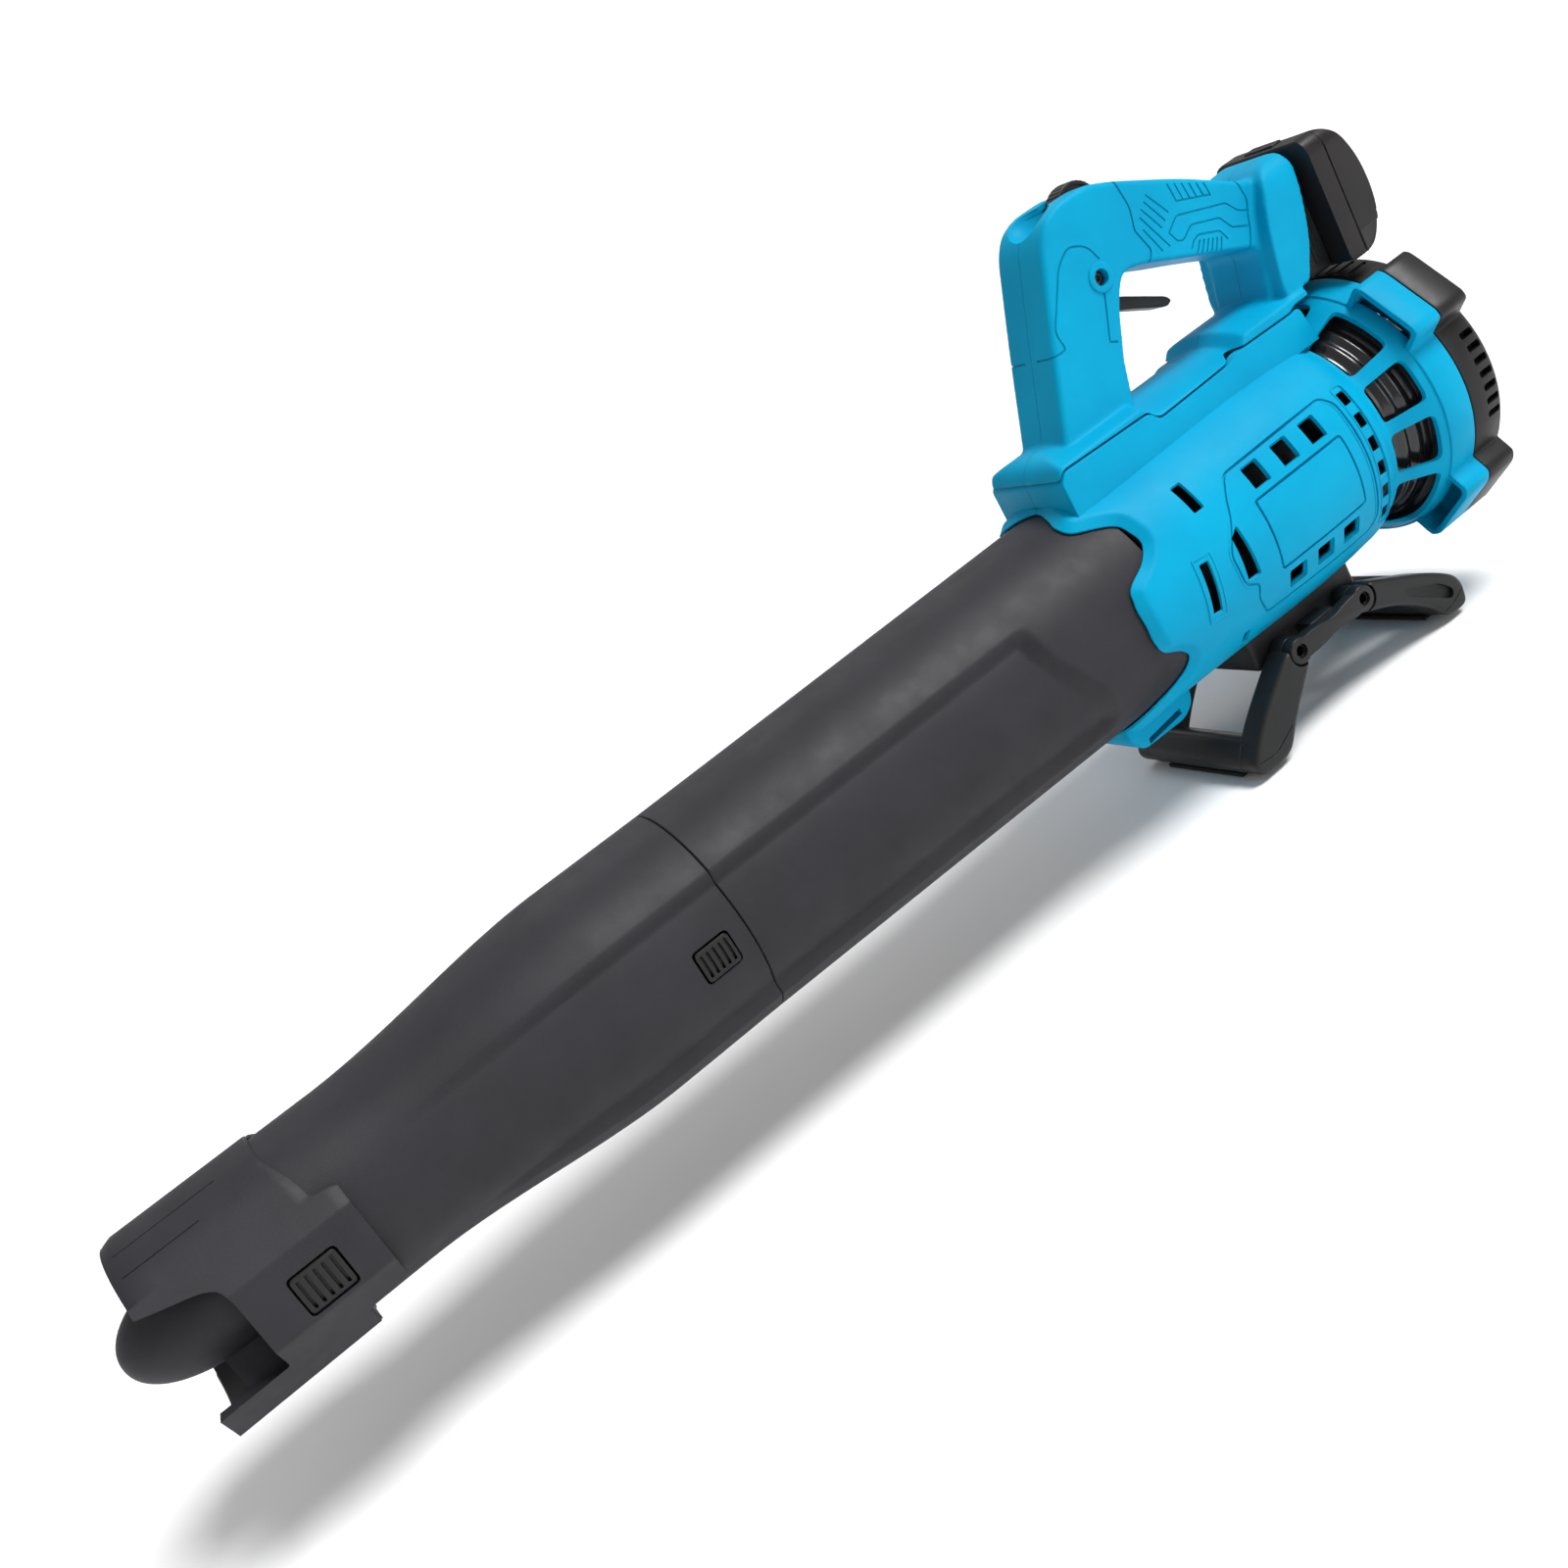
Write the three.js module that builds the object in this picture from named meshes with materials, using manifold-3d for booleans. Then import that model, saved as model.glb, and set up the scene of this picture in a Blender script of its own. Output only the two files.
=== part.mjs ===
// Cordless leaf blower with a two-piece air tube, axial fan, loop handle, slide-on battery and folding stand.
// Millimetres, +Z up. X runs along the fan axis, rearwards; Y = 0 is the mid plane, -Y the user's left.
// Inside this file X = 0 is the joint between the two tubes and Z = 0 is the fan axis. The last lines
// move the whole blower so that its origin lies on the ground, under the middle of its length.
import * as THREE from 'three';
import { mergeVertices } from 'three/addons/utils/BufferGeometryUtils.js';
import Module from 'manifold-3d';

const wasm = await Module();
wasm.setup();

// ---------------------------------------------------------------- driving dimensions
const GAP = 0.3; // air between two pieces that touch
const GROUND_Z = -130; // underside of the feet below the fan axis
const TUBE = { seamR: 62.5, rearR: 65.6, rearEnd: 300, wall: 2.4 };
const COUPLER = { front: -40, rear: 14, wall: 2 }; // sleeve inside the joint of the two tubes
const SPOUT = { r: 50.3, taperFront: -208, taperRear: -72, end: -282 };
const PANEL = { depth: 5.5, top: 60, bottom: 128, bevel: 7.5, rearTop: 218, rearBottom: 246, fade: -190 };
const NOZZLE = {
  tip: -327, sideFront: -290, sideRear: -225, rear: -247, innerR: 50.7, outerR: 52.8, sideY: 56,
};
const CONE = { tip: -350.8, r: 28, tail: -250, wall: 2.6 };
const BARREL = { r: 71.2, wall: 3, rear: 475, shoulder: 460, endR: 63.4, collarR: 66.1, collarEnd: 303 };
const DUCT = { front: 303.4, rear: 484, r: 59.5, innerR: 57.2, flangeR: 67.8 };
const MOTOR = { front: 352, rear: 432, r: 23, shaftR: 2.5, boreR: 2.57 };
const FAN = { front: 440, rear: 466, hubR: 24, bladeR: 56.4, blades: 9, nose: 484 };
const GUARD = { front: 509, mid: 529, lobeRear: 553, rear: 558, r: 81.6, wall: 3.5, lobeR: 94.5 };
const HANDLE = { half: 22.8, wall: 3, baseHalf: 35, flangeHalf: 32.5 };
const CROWN = { front: 97, low: 88.3, rear: 96, inner: 85.2 }; // radii of the handle's crowned base
const BATTERY = { front: 528, split: 541, rear: 562.5, half: 39, low: 86, high: 164, wall: 2.5 };
const STAND = { pivotZ: -78.8, frontX: 368, rearX: 423.5, outerY: 56, barY: 48, bossR: 8.2, pinR: 4 };
const LATCH = { long: 22.5, high: 19.5, clearance: 3 };

// Facets around a turned piece.
const ROUND = 30;
const SMALL_ROUND = 16;
const BARREL_ROUND = 40;

// ---------------------------------------------------------------- colours
const finish = (color, roughness, metalness = 0) =>
  new THREE.MeshStandardMaterial({ color, roughness, metalness });
const BLUE = finish(0x00a6dc, 0.5);
const CHARCOAL = finish(0x37353b, 0.6);
const BLACK = finish(0x1a1a1c, 0.55);
const GLOSS_BLACK = finish(0x101012, 0.2);
const RUBBER = finish(0x141414, 0.9);
const STEEL = finish(0xa8abb0, 0.35, 0.9);
const BRASS = finish(0xc09a4c, 0.35, 0.9);
const BOARD = finish(0x1f5b34, 0.6);
const COPPER = finish(0xa8622e, 0.4, 0.8);
const SLEEVE = finish(0x2c5fa8, 0.45);

// ---------------------------------------------------------------- solid helpers
const radians = THREE.MathUtils.degToRad;
const smooth = (x, a, b) => THREE.MathUtils.smoothstep(x, a, b);
const mix = THREE.MathUtils.lerp;

function signedVolume(positions, index) {
  const [a, b, c] = [new THREE.Vector3(), new THREE.Vector3(), new THREE.Vector3()];
  let volume = 0;
  for (let i = 0; i < index.length; i += 3) {
    a.fromArray(positions, 3 * index[i]);
    b.fromArray(positions, 3 * index[i + 1]);
    c.fromArray(positions, 3 * index[i + 2]);
    volume += a.dot(b.cross(c)) / 6;
  }
  return volume;
}

// A closed geometry becomes a solid: shared corners are merged and flat slivers are dropped.
function solid(geometry) {
  const plain = geometry.clone();
  plain.deleteAttribute('normal');
  plain.deleteAttribute('uv');
  const merged = mergeVertices(plain, 1e-4);
  const positions = merged.attributes.position.array;
  const index = [];
  for (let i = 0; i < merged.index.count; i += 3) {
    const [a, b, c] = [0, 1, 2].map((k) => merged.index.getX(i + k));
    if (a !== b && b !== c && c !== a) index.push(a, b, c);
  }
  if (signedVolume(positions, index) < 0) index.reverse();
  return new wasm.Manifold(
    new wasm.Mesh({ numProp: 3, vertProperties: positions, triVerts: new Uint32Array(index) }),
  );
}

const join = (...solids) => solids.reduce((whole, piece) => whole.add(piece));
const cut = (body, ...tools) => tools.reduce((rest, tool) => rest.subtract(tool), body);
const bothSides = (make) => [-1, 1].map(make);
const spanY = (side, a, b) => (side < 0 ? [-b, -a] : [a, b]); // a to b out from the mid plane

function box(x0, x1, y0, y1, z0, z1) {
  const geometry = new THREE.BoxGeometry(x1 - x0, y1 - y0, z1 - z0);
  return solid(geometry.translate((x0 + x1) / 2, (y0 + y1) / 2, (z0 + z1) / 2));
}

// A closed loop of [x, radius] points turned around the fan axis; reshape may move each point.
function turned(loop, segments = ROUND, reshape = null) {
  const profile = [...loop, loop[0]].map(([x, r]) => new THREE.Vector2(r, x));
  const geometry = new THREE.LatheGeometry(profile, segments).rotateZ(-Math.PI / 2);
  if (reshape) {
    const points = geometry.attributes.position;
    for (let i = 0; i < points.count; i += 1) {
      const [x, y, z] = [points.getX(i), points.getY(i), points.getZ(i)];
      const r = Math.hypot(y, z);
      const theta = Math.round(THREE.MathUtils.radToDeg(Math.atan2(Math.abs(y), z)) * 1e4) / 1e4;
      const [newX, newR] = reshape(x, r, theta);
      points.setXYZ(i, newX, (y * newR) / r, (z * newR) / r);
    }
  }
  return solid(geometry);
}

const disc = (x0, x1, r, segments = 32) => turned([[x0, 0], [x0, r], [x1, r], [x1, 0]], segments);
const ring = (x0, x1, inner, outer, segments = 32) =>
  turned([[x0, inner], [x0, outer], [x1, outer], [x1, inner]], segments);

// An outline of [a, b, radius] corners; a radius rounds the corner with a quadratic curve.
function outline(corners) {
  const shape = new THREE.Shape();
  const at = (i) => new THREE.Vector2(...corners[(i + corners.length) % corners.length].slice(0, 2));
  corners.forEach(([, , radius = 0], i) => {
    const here = at(i);
    const start = here.clone().lerp(at(i - 1), radius / Math.max(radius, here.distanceTo(at(i - 1))));
    const end = here.clone().lerp(at(i + 1), radius / Math.max(radius, here.distanceTo(at(i + 1))));
    if (i === 0) shape.moveTo(start.x, start.y);
    else shape.lineTo(start.x, start.y);
    if (radius > 0) shape.quadraticCurveTo(here.x, here.y, end.x, end.y);
  });
  return shape;
}

// An X-Z outline given thickness from y0 to y1, with an optional bevel on its edges.
function plate(corners, y0, y1, bevel = 0, curveSegments = 2) {
  const settings = { depth: y1 - y0 - 2 * bevel, curveSegments, bevelEnabled: bevel > 0 };
  Object.assign(settings, { bevelSize: bevel, bevelOffset: -bevel, bevelThickness: bevel, bevelSegments: 1 });
  const geometry = new THREE.ExtrudeGeometry(outline(corners), settings);
  return solid(geometry.rotateX(Math.PI / 2).translate(0, y1 - bevel, 0));
}

// A Y-Z outline given thickness from x0 to x1.
function slab(corners, x0, x1, curveSegments = 2) {
  const settings = { depth: x1 - x0, curveSegments, bevelEnabled: false };
  const geometry = new THREE.ExtrudeGeometry(outline(corners), settings);
  const axes = new THREE.Matrix4().makeBasis(
    new THREE.Vector3(0, 1, 0), new THREE.Vector3(0, 0, 1), new THREE.Vector3(1, 0, 0));
  return solid(geometry.applyMatrix4(axes).translate(x0, 0, 0));
}

// A round bar along Y.
function crossBar(x, z, r, y0, y1, segments = SMALL_ROUND) {
  const geometry = new THREE.CylinderGeometry(r, r, y1 - y0, segments);
  return solid(geometry.translate(x, (y0 + y1) / 2, z));
}

// A block pointing outwards from the fan axis; theta is in degrees from straight up, towards +Y.
function radialBlock(x, theta, long, wide, r0, r1, slant = 0) {
  const geometry = new THREE.BoxGeometry(long, wide, r1 - r0).rotateZ(radians(slant));
  return solid(geometry.translate(0, 0, (r0 + r1) / 2).rotateX(radians(-theta)).translate(x, 0, 0));
}

// A flat plate standing radially on the fan axis, from an outline of [x, r] corners.
function radialPlate(corners, thick, theta) {
  const settings = { depth: thick, curveSegments: 3, bevelEnabled: false };
  const geometry = new THREE.ExtrudeGeometry(outline(corners), settings);
  geometry.rotateX(Math.PI / 2).translate(0, thick / 2, 0);
  return solid(geometry.rotateX(radians(-theta)));
}

const blower = new THREE.Group();
blower.name = 'leaf_blower';

function add(name, body, material) {
  const { vertProperties, triVerts } = body.getMesh();
  const geometry = new THREE.BufferGeometry();
  geometry.setAttribute('position', new THREE.Float32BufferAttribute(vertProperties, 3));
  geometry.setIndex(Array.from(triVerts));
  const mesh = new THREE.Mesh(geometry, material);
  mesh.name = name;
  blower.add(mesh);
}

const sideName = (side) => (side < 0 ? 'left' : 'right');

// ---------------------------------------------------------------- air tubes
const rearTubeR = (x) => mix(TUBE.seamR, TUBE.rearR, x / TUBE.rearEnd);
const frontTubeR = (x) => mix(SPOUT.r, TUBE.seamR, smooth(x, SPOUT.taperFront, SPOUT.taperRear));

// Depth of the flat-bottomed side panels pressed into both tubes.
function panelDepth(x, theta) {
  const around = smooth(theta, PANEL.top - PANEL.bevel, PANEL.top)
    * (1 - smooth(theta, PANEL.bottom, PANEL.bottom + PANEL.bevel));
  const rearEdge = mix(PANEL.rearTop, PANEL.rearBottom, smooth(theta, PANEL.top, PANEL.bottom));
  const along = (1 - smooth(x, rearEdge - 12, rearEdge + 2)) * smooth(x, PANEL.fade, PANEL.fade + 90);
  return PANEL.depth * around * along;
}

const sinkPanel = (x, r, theta) => [x, r - panelDepth(x, theta)];

function tubeLoop(stations, radiusAt, wall = TUBE.wall) {
  const outer = stations.map((x) => [x, radiusAt(x)]);
  const inner = [...stations].reverse().map((x) => [x, radiusAt(x) - wall]);
  return [...outer, ...inner];
}

function latchWindow({ x, z }, side, clearance) {
  const [halfLong, halfHigh] = [LATCH.long / 2 + clearance, LATCH.high / 2 + clearance];
  return box(x - halfLong, x + halfLong, ...spanY(side, 40, 70), z - halfHigh, z + halfHigh);
}

const SEAM_LATCH = { x: -21, z: 0, face: 58.4, base: 54.7 };
const NOZZLE_LATCH = { x: -255, z: -4, face: 57.4, base: 53.2 };

function latchButton(side, { x, z, face, base }) {
  const [halfLong, halfHigh] = [LATCH.long / 2 - GAP, LATCH.high / 2 - GAP];
  const pad = box(x - halfLong, x + halfLong, ...spanY(side, base, face - 1.6), z - halfHigh, z + halfHigh);
  const ribs = [-2, -1, 0, 1, 2].map((i) => {
    const ribX = x + i * 3.9;
    return box(ribX - 1.1, ribX + 1.1, ...spanY(side, face - 2, face), z - halfHigh + 2, z + halfHigh - 2);
  });
  return join(pad, ...ribs);
}

const rearTube = () => turned(
  tubeLoop([0, 205, 218, 232, 248, TUBE.rearEnd], rearTubeR), ROUND, sinkPanel);

// Holds both tubes in line; the front tube slides off it. Its windows leave room for the pressed buttons.
function tubeCoupler() {
  const { front, rear, wall } = COUPLER;
  const radius = TUBE.seamR - TUBE.wall - GAP;
  const sleeve = turned([[front, radius], [rear, radius], [rear, radius - wall], [front, radius - wall]],
    ROUND, sinkPanel);
  return cut(sleeve, ...bothSides((side) => latchWindow(SEAM_LATCH, side, LATCH.clearance)));
}

function frontTube() {
  const stations = [SPOUT.end, -205, -175, -145, -110, -75, -GAP];
  const body = turned(tubeLoop(stations, frontTubeR), ROUND, sinkPanel);
  const windows = bothSides((side) => join(
    latchWindow(SEAM_LATCH, side, 0), latchWindow(NOZZLE_LATCH, side, LATCH.clearance)));
  return cut(body, ...windows);
}

// ---------------------------------------------------------------- nozzle
function nozzle() {
  const { tip, sideFront, sideRear, rear, innerR, outerR, sideY } = NOZZLE;
  const hump = (y, x0, x1, top, low) => slab(
    [[-y, low, 4], [y, low, 4], [y, top, 4], [-y, top, 4]], x0, x1);
  const sleeve = turned([[tip, 0], [tip, outerR - 2.4], [tip + 4, outerR - 1], [rear, outerR], [rear, 0]]);
  const humps = hump(sideY, sideFront, sideRear, 25, -31);
  const bore = turned([[tip - 1, 0], [tip - 1, innerR - 2.2], [-284, innerR - 1.2], [-283.6, innerR],
    [sideRear + 1, innerR], [sideRear + 1, 0]]);
  const humpBore = hump(sideY - 2.4, SPOUT.end, sideRear + 1, 22.5, -28.5);
  const sideMouth = box(tip - 2, sideFront, -70, 70, -31.5, 25.5);
  const buttons = bothSides((side) => latchWindow(NOZZLE_LATCH, side, 0));
  return cut(join(sleeve, humps), bore, humpBore, sideMouth, ...buttons);
}

// Hollow bullet, open at its tail, on four vanes.
function nozzleCone() {
  const { tip, r, tail, wall } = CONE;
  const loop = [[tip, 0], [tip + 3, 9.5], [tip + 9, 15.8], [tip + 19, 21.4], [tip + 34, 26], [tip + 54, r],
    [-272, 26.5], [tail, 15], [tail, 15 - wall], [-272, 26.5 - wall], [tip + 54, r - wall],
    [tip + 34, 26 - wall], [tip + 19, 18.6], [tip + 9, 11], [tip + 5, 0]];
  const vanes = [-35, 35, -145, 145].map((theta) =>
    radialPlate([[-312, r - 1.5], [-312, 48], [-287, 49], [-287, r - 1.5]], 2.2, theta));
  return join(turned(loop, SMALL_ROUND), ...vanes);
}

// ---------------------------------------------------------------- barrel housing
// Front rim of the barrel: how far forward it reaches at each angle from the top.
const RIM = [[0, 286], [20, 277], [33, 282], [41, 297], [50, 302], [64, 297], [71, 281], [90, 275],
  [106, 277], [120, 297], [136, 290], [155, 266], [180, 258]];

function rimX(theta) {
  const i = Math.max(1, RIM.findIndex(([angle]) => angle >= Math.min(theta, 180)));
  const [[a0, x0], [a1, x1]] = [RIM[i - 1], RIM[i]];
  return mix(x0, x1, (theta - a0) / (a1 - a0));
}

const STRUT_ANGLES = [22, 61, 89.5, 118.5, 165];
const LOBE_ANGLES = [48.5, -48.5, 143, -143];

// One of the four corner lobes of the rear guard, as a Y-Z outline standing on the ring.
function lobe(theta, inset, x0, x1) {
  const [top, low, wide, narrow] = [GUARD.lobeR - inset, 60, 25 - inset, 20 - inset];
  const corners = [[-wide, low], [wide, low], [wide, 82 - inset / 2], [narrow, top], [-narrow, top],
    [-wide, 82 - inset / 2]];
  const turn = new THREE.Vector2();
  const placed = corners.map(([v, u]) => {
    turn.set(v, u).rotateAround(new THREE.Vector2(), radians(-theta));
    return [turn.x, turn.y];
  });
  return slab(placed, x0, x1);
}

const guardSolid = (inset, x0, x1) => join(
  disc(x0, x1, GUARD.r - inset, ROUND), ...LOBE_ANGLES.map((theta) => lobe(theta, inset, x0, x1)));

function ventCutters(side) {
  const [r0, r1] = [62, 76];
  const vent = (x, theta, long, wide, slant = 0) =>
    radialBlock(x, side * theta, long, wide, r0, r1, side * slant);
  const rows = [382, 406, 429].flatMap((x) => [vent(x, 65.5, 11, 11), vent(x, 119.5, 12, 8)]);
  const ticks = [0, 1, 2, 3, 4, 5].map((i) => vent(461, 63 + i * 12.7, 5, 8));
  const others = [vent(340, 55, 6, 16, 35), vent(349, 92, 8, 27, 8), vent(321, 94, 5, 26),
    vent(342, 137, 4, 12)];
  return [...rows, ...ticks, ...others];
}

function barrelWhole() {
  const { r, wall, rear, shoulder, endR, collarR, collarEnd } = BARREL;
  const front = 306;
  const loop = [[0, r - 2.2], [front, r], [shoulder, r], [shoulder + 9, r - 2.6], [rear, endR],
    [rear, endR - wall], [shoulder + 6, r - wall - 2], [shoulder, r - wall], [front + 2, r - wall],
    [collarEnd, collarR], [0, collarR]];
  const shell = turned(loop, BARREL_ROUND, (x, radius, theta) => [x < 1 ? rimX(theta) : x, radius]);
  const struts = bothSides((side) => join(...STRUT_ANGLES.map((theta) => radialPlate(
    [[464, 65.5], [467, 68.5], [485, 71, 6], [498, 79, 6], [512, 81], [512, 78.6], [500, 74, 6],
      [488, 65.5, 6], [470, 61.5]], 7, side * theta))));
  const guard = cut(guardSolid(0, GUARD.front, GUARD.mid), guardSolid(GUARD.wall, 500, 540));
  return cut(join(shell, ...struts, guard), ...ventCutters(-1), ...ventCutters(1));
}

const SPLIT = GAP / 2;
const halfSpace = (side) => box(-400, 600, ...spanY(side, SPLIT, 200), -200, 300);

// ---------------------------------------------------------------- fan, motor and duct
function fanDuct() {
  const { front, rear, r, innerR, flangeR } = DUCT;
  const wall = turned([[front, 63], [340, r], [rear, r], [rear, innerR], [340, innerR], [front, 60.6]]);
  return join(wall, ring(312, 316, 61, flangeR, ROUND), ring(436, 440, r - 1, flangeR, ROUND));
}

// Hub round the motor, held in the duct by straightening vanes.
function motorMount() {
  const hub = ring(MOTOR.front - 2, 436, MOTOR.r + GAP, MOTOR.r + 3, SMALL_ROUND);
  const [root, end] = [MOTOR.r + 1, DUCT.innerR - 0.6];
  const vanes = Array.from({ length: 7 }, (_, i) =>
    radialPlate([[356, root], [356, end], [412, end], [412, root]], 2.2, (i * 360) / 7));
  return join(hub, ...vanes);
}

function tailCone() {
  const [base, tip, r, wall] = [MOTOR.front - 2 - GAP, 258, MOTOR.r + 3, 2];
  const arc = (length, radius) => Array.from({ length: 6 }, (_, i) => {
    const a = (i / 5) * (Math.PI / 2);
    return [base - length * Math.sin(a), radius * Math.cos(a)];
  });
  return turned([...arc(base - tip, r), ...arc(base - tip - wall, r - wall).reverse()], SMALL_ROUND);
}

function motorCan() {
  const { front, rear, r } = MOTOR;
  return turned([[front, 4], [front, r - 2], [front + 2, r], [rear - 2, r], [rear, r - 2], [rear, 4],
    [rear - 2, 4], [rear - 2, 8.2], [rear - 8, 8.2], [rear - 8, 10], [rear - 3, r - 2], [front + 3, r - 2],
    [front + 8, 10], [front + 8, 8.2], [front + 2, 8.2], [front + 2, 4]], SMALL_ROUND);
}

function impeller() {
  const { front, rear, hubR, bladeR, blades, nose } = FAN;
  const hub = turned([[front, MOTOR.boreR], [front, hubR], [rear, hubR], [474, 20], [nose - 4, 12], [nose, 4],
    [nose, 0], [472, 0], [472, MOTOR.boreR]], SMALL_ROUND);
  const blade = (i) => {
    const geometry = new THREE.BoxGeometry(2, 25, bladeR - hubR + 3).rotateZ(radians(48));
    geometry.translate((front + rear) / 2, 0, (bladeR + hubR - 3) / 2);
    return solid(geometry.rotateX(radians((i * 360) / blades)));
  };
  const swept = join(...Array.from({ length: blades }, (_, i) => blade(i)));
  return join(hub, swept.intersect(disc(430, 480, bladeR, 48)));
}

function bellmouth() {
  return turned([[484.3, 57.2], [496, 58], [507, 65.5], [507, 67.2], [500, 64.6], [497, 61.6], [493, 63.8],
    [489, 60.6], [484.3, 60.2]]);
}

// ---------------------------------------------------------------- rear cover
function rearCover() {
  const { mid, lobeRear, rear, r } = GUARD;
  const start = mid + GAP;
  const dome = turned([[lobeRear, 0], [lobeRear, r - 1], [rear, r - 5], [rear, 0]]);
  const cap = join(guardSolid(0, start, lobeRear), dome);
  const hollow = join(guardSolid(GUARD.wall, start - 1, lobeRear - 3), disc(start, rear + 1, 68, ROUND));
  const rings = [32, 50].map((radius) => ring(rear - 5, rear - 1, radius - 1.6, radius + 1.6, SMALL_ROUND));
  const spokes = Array.from({ length: 8 }, (_, i) => radialBlock(rear - 3, i * 45 + 22.5, 3.4, 3, 10, 69));
  const slots = [-1, 1].flatMap((side) => [77, 86, 95, 104].map((theta) =>
    radialBlock(548, side * theta, 10, 3.4, 72, 90)));
  const topSlots = [-16, -5.3, 5.3, 16].map((theta) => radialBlock(546, theta, 14, 3, 72, 90));
  const hub = disc(rear - 5, rear, 14, SMALL_ROUND);
  return join(cut(cap, hollow, ...slots, ...topSlots), ...rings, ...spokes, hub);
}

// ---------------------------------------------------------------- handle
const DIAL = { x: 396, z: 196, r: 17, half: 6 };
const TRIGGER = { x: 370, z: 142, half: 7, pinR: 2 };
const HANDLE_SCREW = { x: 377, z: 161 };

const LOOP_OUTLINE = [[306, 76], [305.5, 94], [329.7, 146, 20], [351, 195, 5], [359.5, 204.5, 3],
  [371, 208.6, 4], [394, 208.6, 5], [411, 202.2, 6], [455, 181.5, 12], [493, 160.5, 10], [525.5, 159, 4],
  [520.5, 138, 12], [513, 112, 12], [496.7, 89.8, 4], [492, 76]];
const HAND_GAP = [[357, 84], [368.5, 115], [380.8, 142, 8], [391, 157, 7], [408.3, 153.4, 6], [435.7, 142.2],
  [462.7, 132], [486, 122.5, 5], [479, 101], [474, 84]];
const CAVITY = [[315, 80], [336.5, 145], [357.5, 193, 5], [364, 201.5, 5], [373, 205.3], [392, 205.3, 4],
  [409, 199.3], [453.5, 177.6], [494, 156], [521.5, 155, 4], [517, 138], [509.5, 113], [495, 93],
  [480.5, 93], [483, 101], [490.5, 122, 6], [486, 127], [463, 136], [437, 146], [410, 157], [398, 161],
  [387, 160], [377.2, 143], [364.8, 115], [353, 90], [353, 80]];

// The base hugs the barrel: its top is crowned about the fan's axis, low under the hand.
function handleSolid() {
  const { half, baseHalf, flangeHalf } = HANDLE;
  const loop = cut(plate(LOOP_OUTLINE, -half, half, 3, 2), plate(HAND_GAP, -60, 60));
  const flanks = plate([[283, 62], [283, 84, 6], [290, 95, 6], [306, 98, 5], [490, 98, 5], [492, 62]],
    -baseHalf, baseHalf, 2);
  const crown = join(disc(270, 360, CROWN.front, BARREL_ROUND), disc(360, 436, CROWN.low, BARREL_ROUND),
    disc(436, 520, CROWN.rear, BARREL_ROUND));
  const flange = plate([[480, 95], [484, 112, 12], [490, 134, 10], [511, 156, 6], [526, 160.5, 4],
    [520.5, 138, 12], [513, 112, 12], [499, 90]], -flangeHalf, flangeHalf, 2, 2);
  return join(loop, flanks.intersect(crown), flange);
}

function handleCutters() {
  const inner = HANDLE.half - HANDLE.wall;
  const base = box(300, 486, -31, 31, 50, 90).intersect(disc(290, 490, CROWN.inner, BARREL_ROUND));
  return [
    plate(CAVITY, -inner, inner),
    base,
    disc(250, 600, BARREL.r + GAP, BARREL_ROUND),
    disc(462, 600, GUARD.r + 1, BARREL_ROUND),
    plate([[378, 180], [378, 225], [413, 225], [413, 180]], -DIAL.half - 0.8, DIAL.half + 0.8),
    box(373, 390, -TRIGGER.half - 0.8, TRIGGER.half + 0.8, 134.5, 150),
  ];
}

// Closed thumb well in front of the dial, dished into the top of the post.
function thumbWell() {
  const block = plate([[353.5, 186], [357, 198, 3], [364, 204, 2], [379, 205], [379, 186]], -15, 15);
  const dish = solid(new THREE.SphereGeometry(1, 20, 12).scale(10.5, 9.5, 12).translate(370, 0, 208));
  return { block, dish };
}

function screwBoss({ x, z }) {
  return crossBar(x, z, 6, -HANDLE.half + 1, HANDLE.half - 1, 20);
}

function handleHalf(side) {
  const { block, dish } = thumbWell();
  const shell = cut(handleSolid(), ...handleCutters());
  const posts = bothSides((end) => join(...[DIAL, TRIGGER].map((part) =>
    crossBar(part.x, part.z, 5, ...spanY(end, part.half + 1.5, 21), 16))));
  const { x, z } = HANDLE_SCREW;
  const whole = cut(join(shell, block, screwBoss(HANDLE_SCREW), ...posts), dish,
    crossBar(DIAL.x, DIAL.z, 2.1, -18, 18, 16), crossBar(TRIGGER.x, TRIGGER.z, 2.1, -18, 18, 16),
    crossBar(x, z, 1.7, -30, 18, 16), crossBar(x, z, 4.6, -30, -16, 20));
  return whole.intersect(halfSpace(side));
}

function trigger() {
  const { x, z, half } = TRIGGER;
  const lever = plate([[x, z + 4], [x + 15, z + 4.5, 3], [x + 24, z + 1.2, 3], [x + 54, z - 15.2],
    [x + 56.4, z - 18.4], [x + 52, z - 20.8, 1.5], [x + 24, z - 7, 3], [x + 14, z - 4.5, 3],
    [x, z - 4.5]], -half, half);
  const hub = crossBar(x, z, 5, -half, half, 20);
  const springBay = box(x - 6, x + 6, -4, 4, z - 6, z + 8);
  return cut(join(lever, hub), springBay, crossBar(x, z, TRIGGER.pinR + 0.06, -20, 20, 16));
}

function triggerSpring() {
  class Coil extends THREE.Curve {
    getPoint(t, target = new THREE.Vector3()) {
      const a = t * 4 * 2 * Math.PI;
      return target.set(TRIGGER.x + 3.4 * Math.cos(a), mix(-3, 3, t), TRIGGER.z + 3.4 * Math.sin(a));
    }
  }
  const wire = new THREE.Shape().absarc(0, 0, 0.45, 0, 2 * Math.PI);
  return solid(new THREE.ExtrudeGeometry(wire, { steps: 36, curveSegments: 2, extrudePath: new Coil() }));
}

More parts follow.
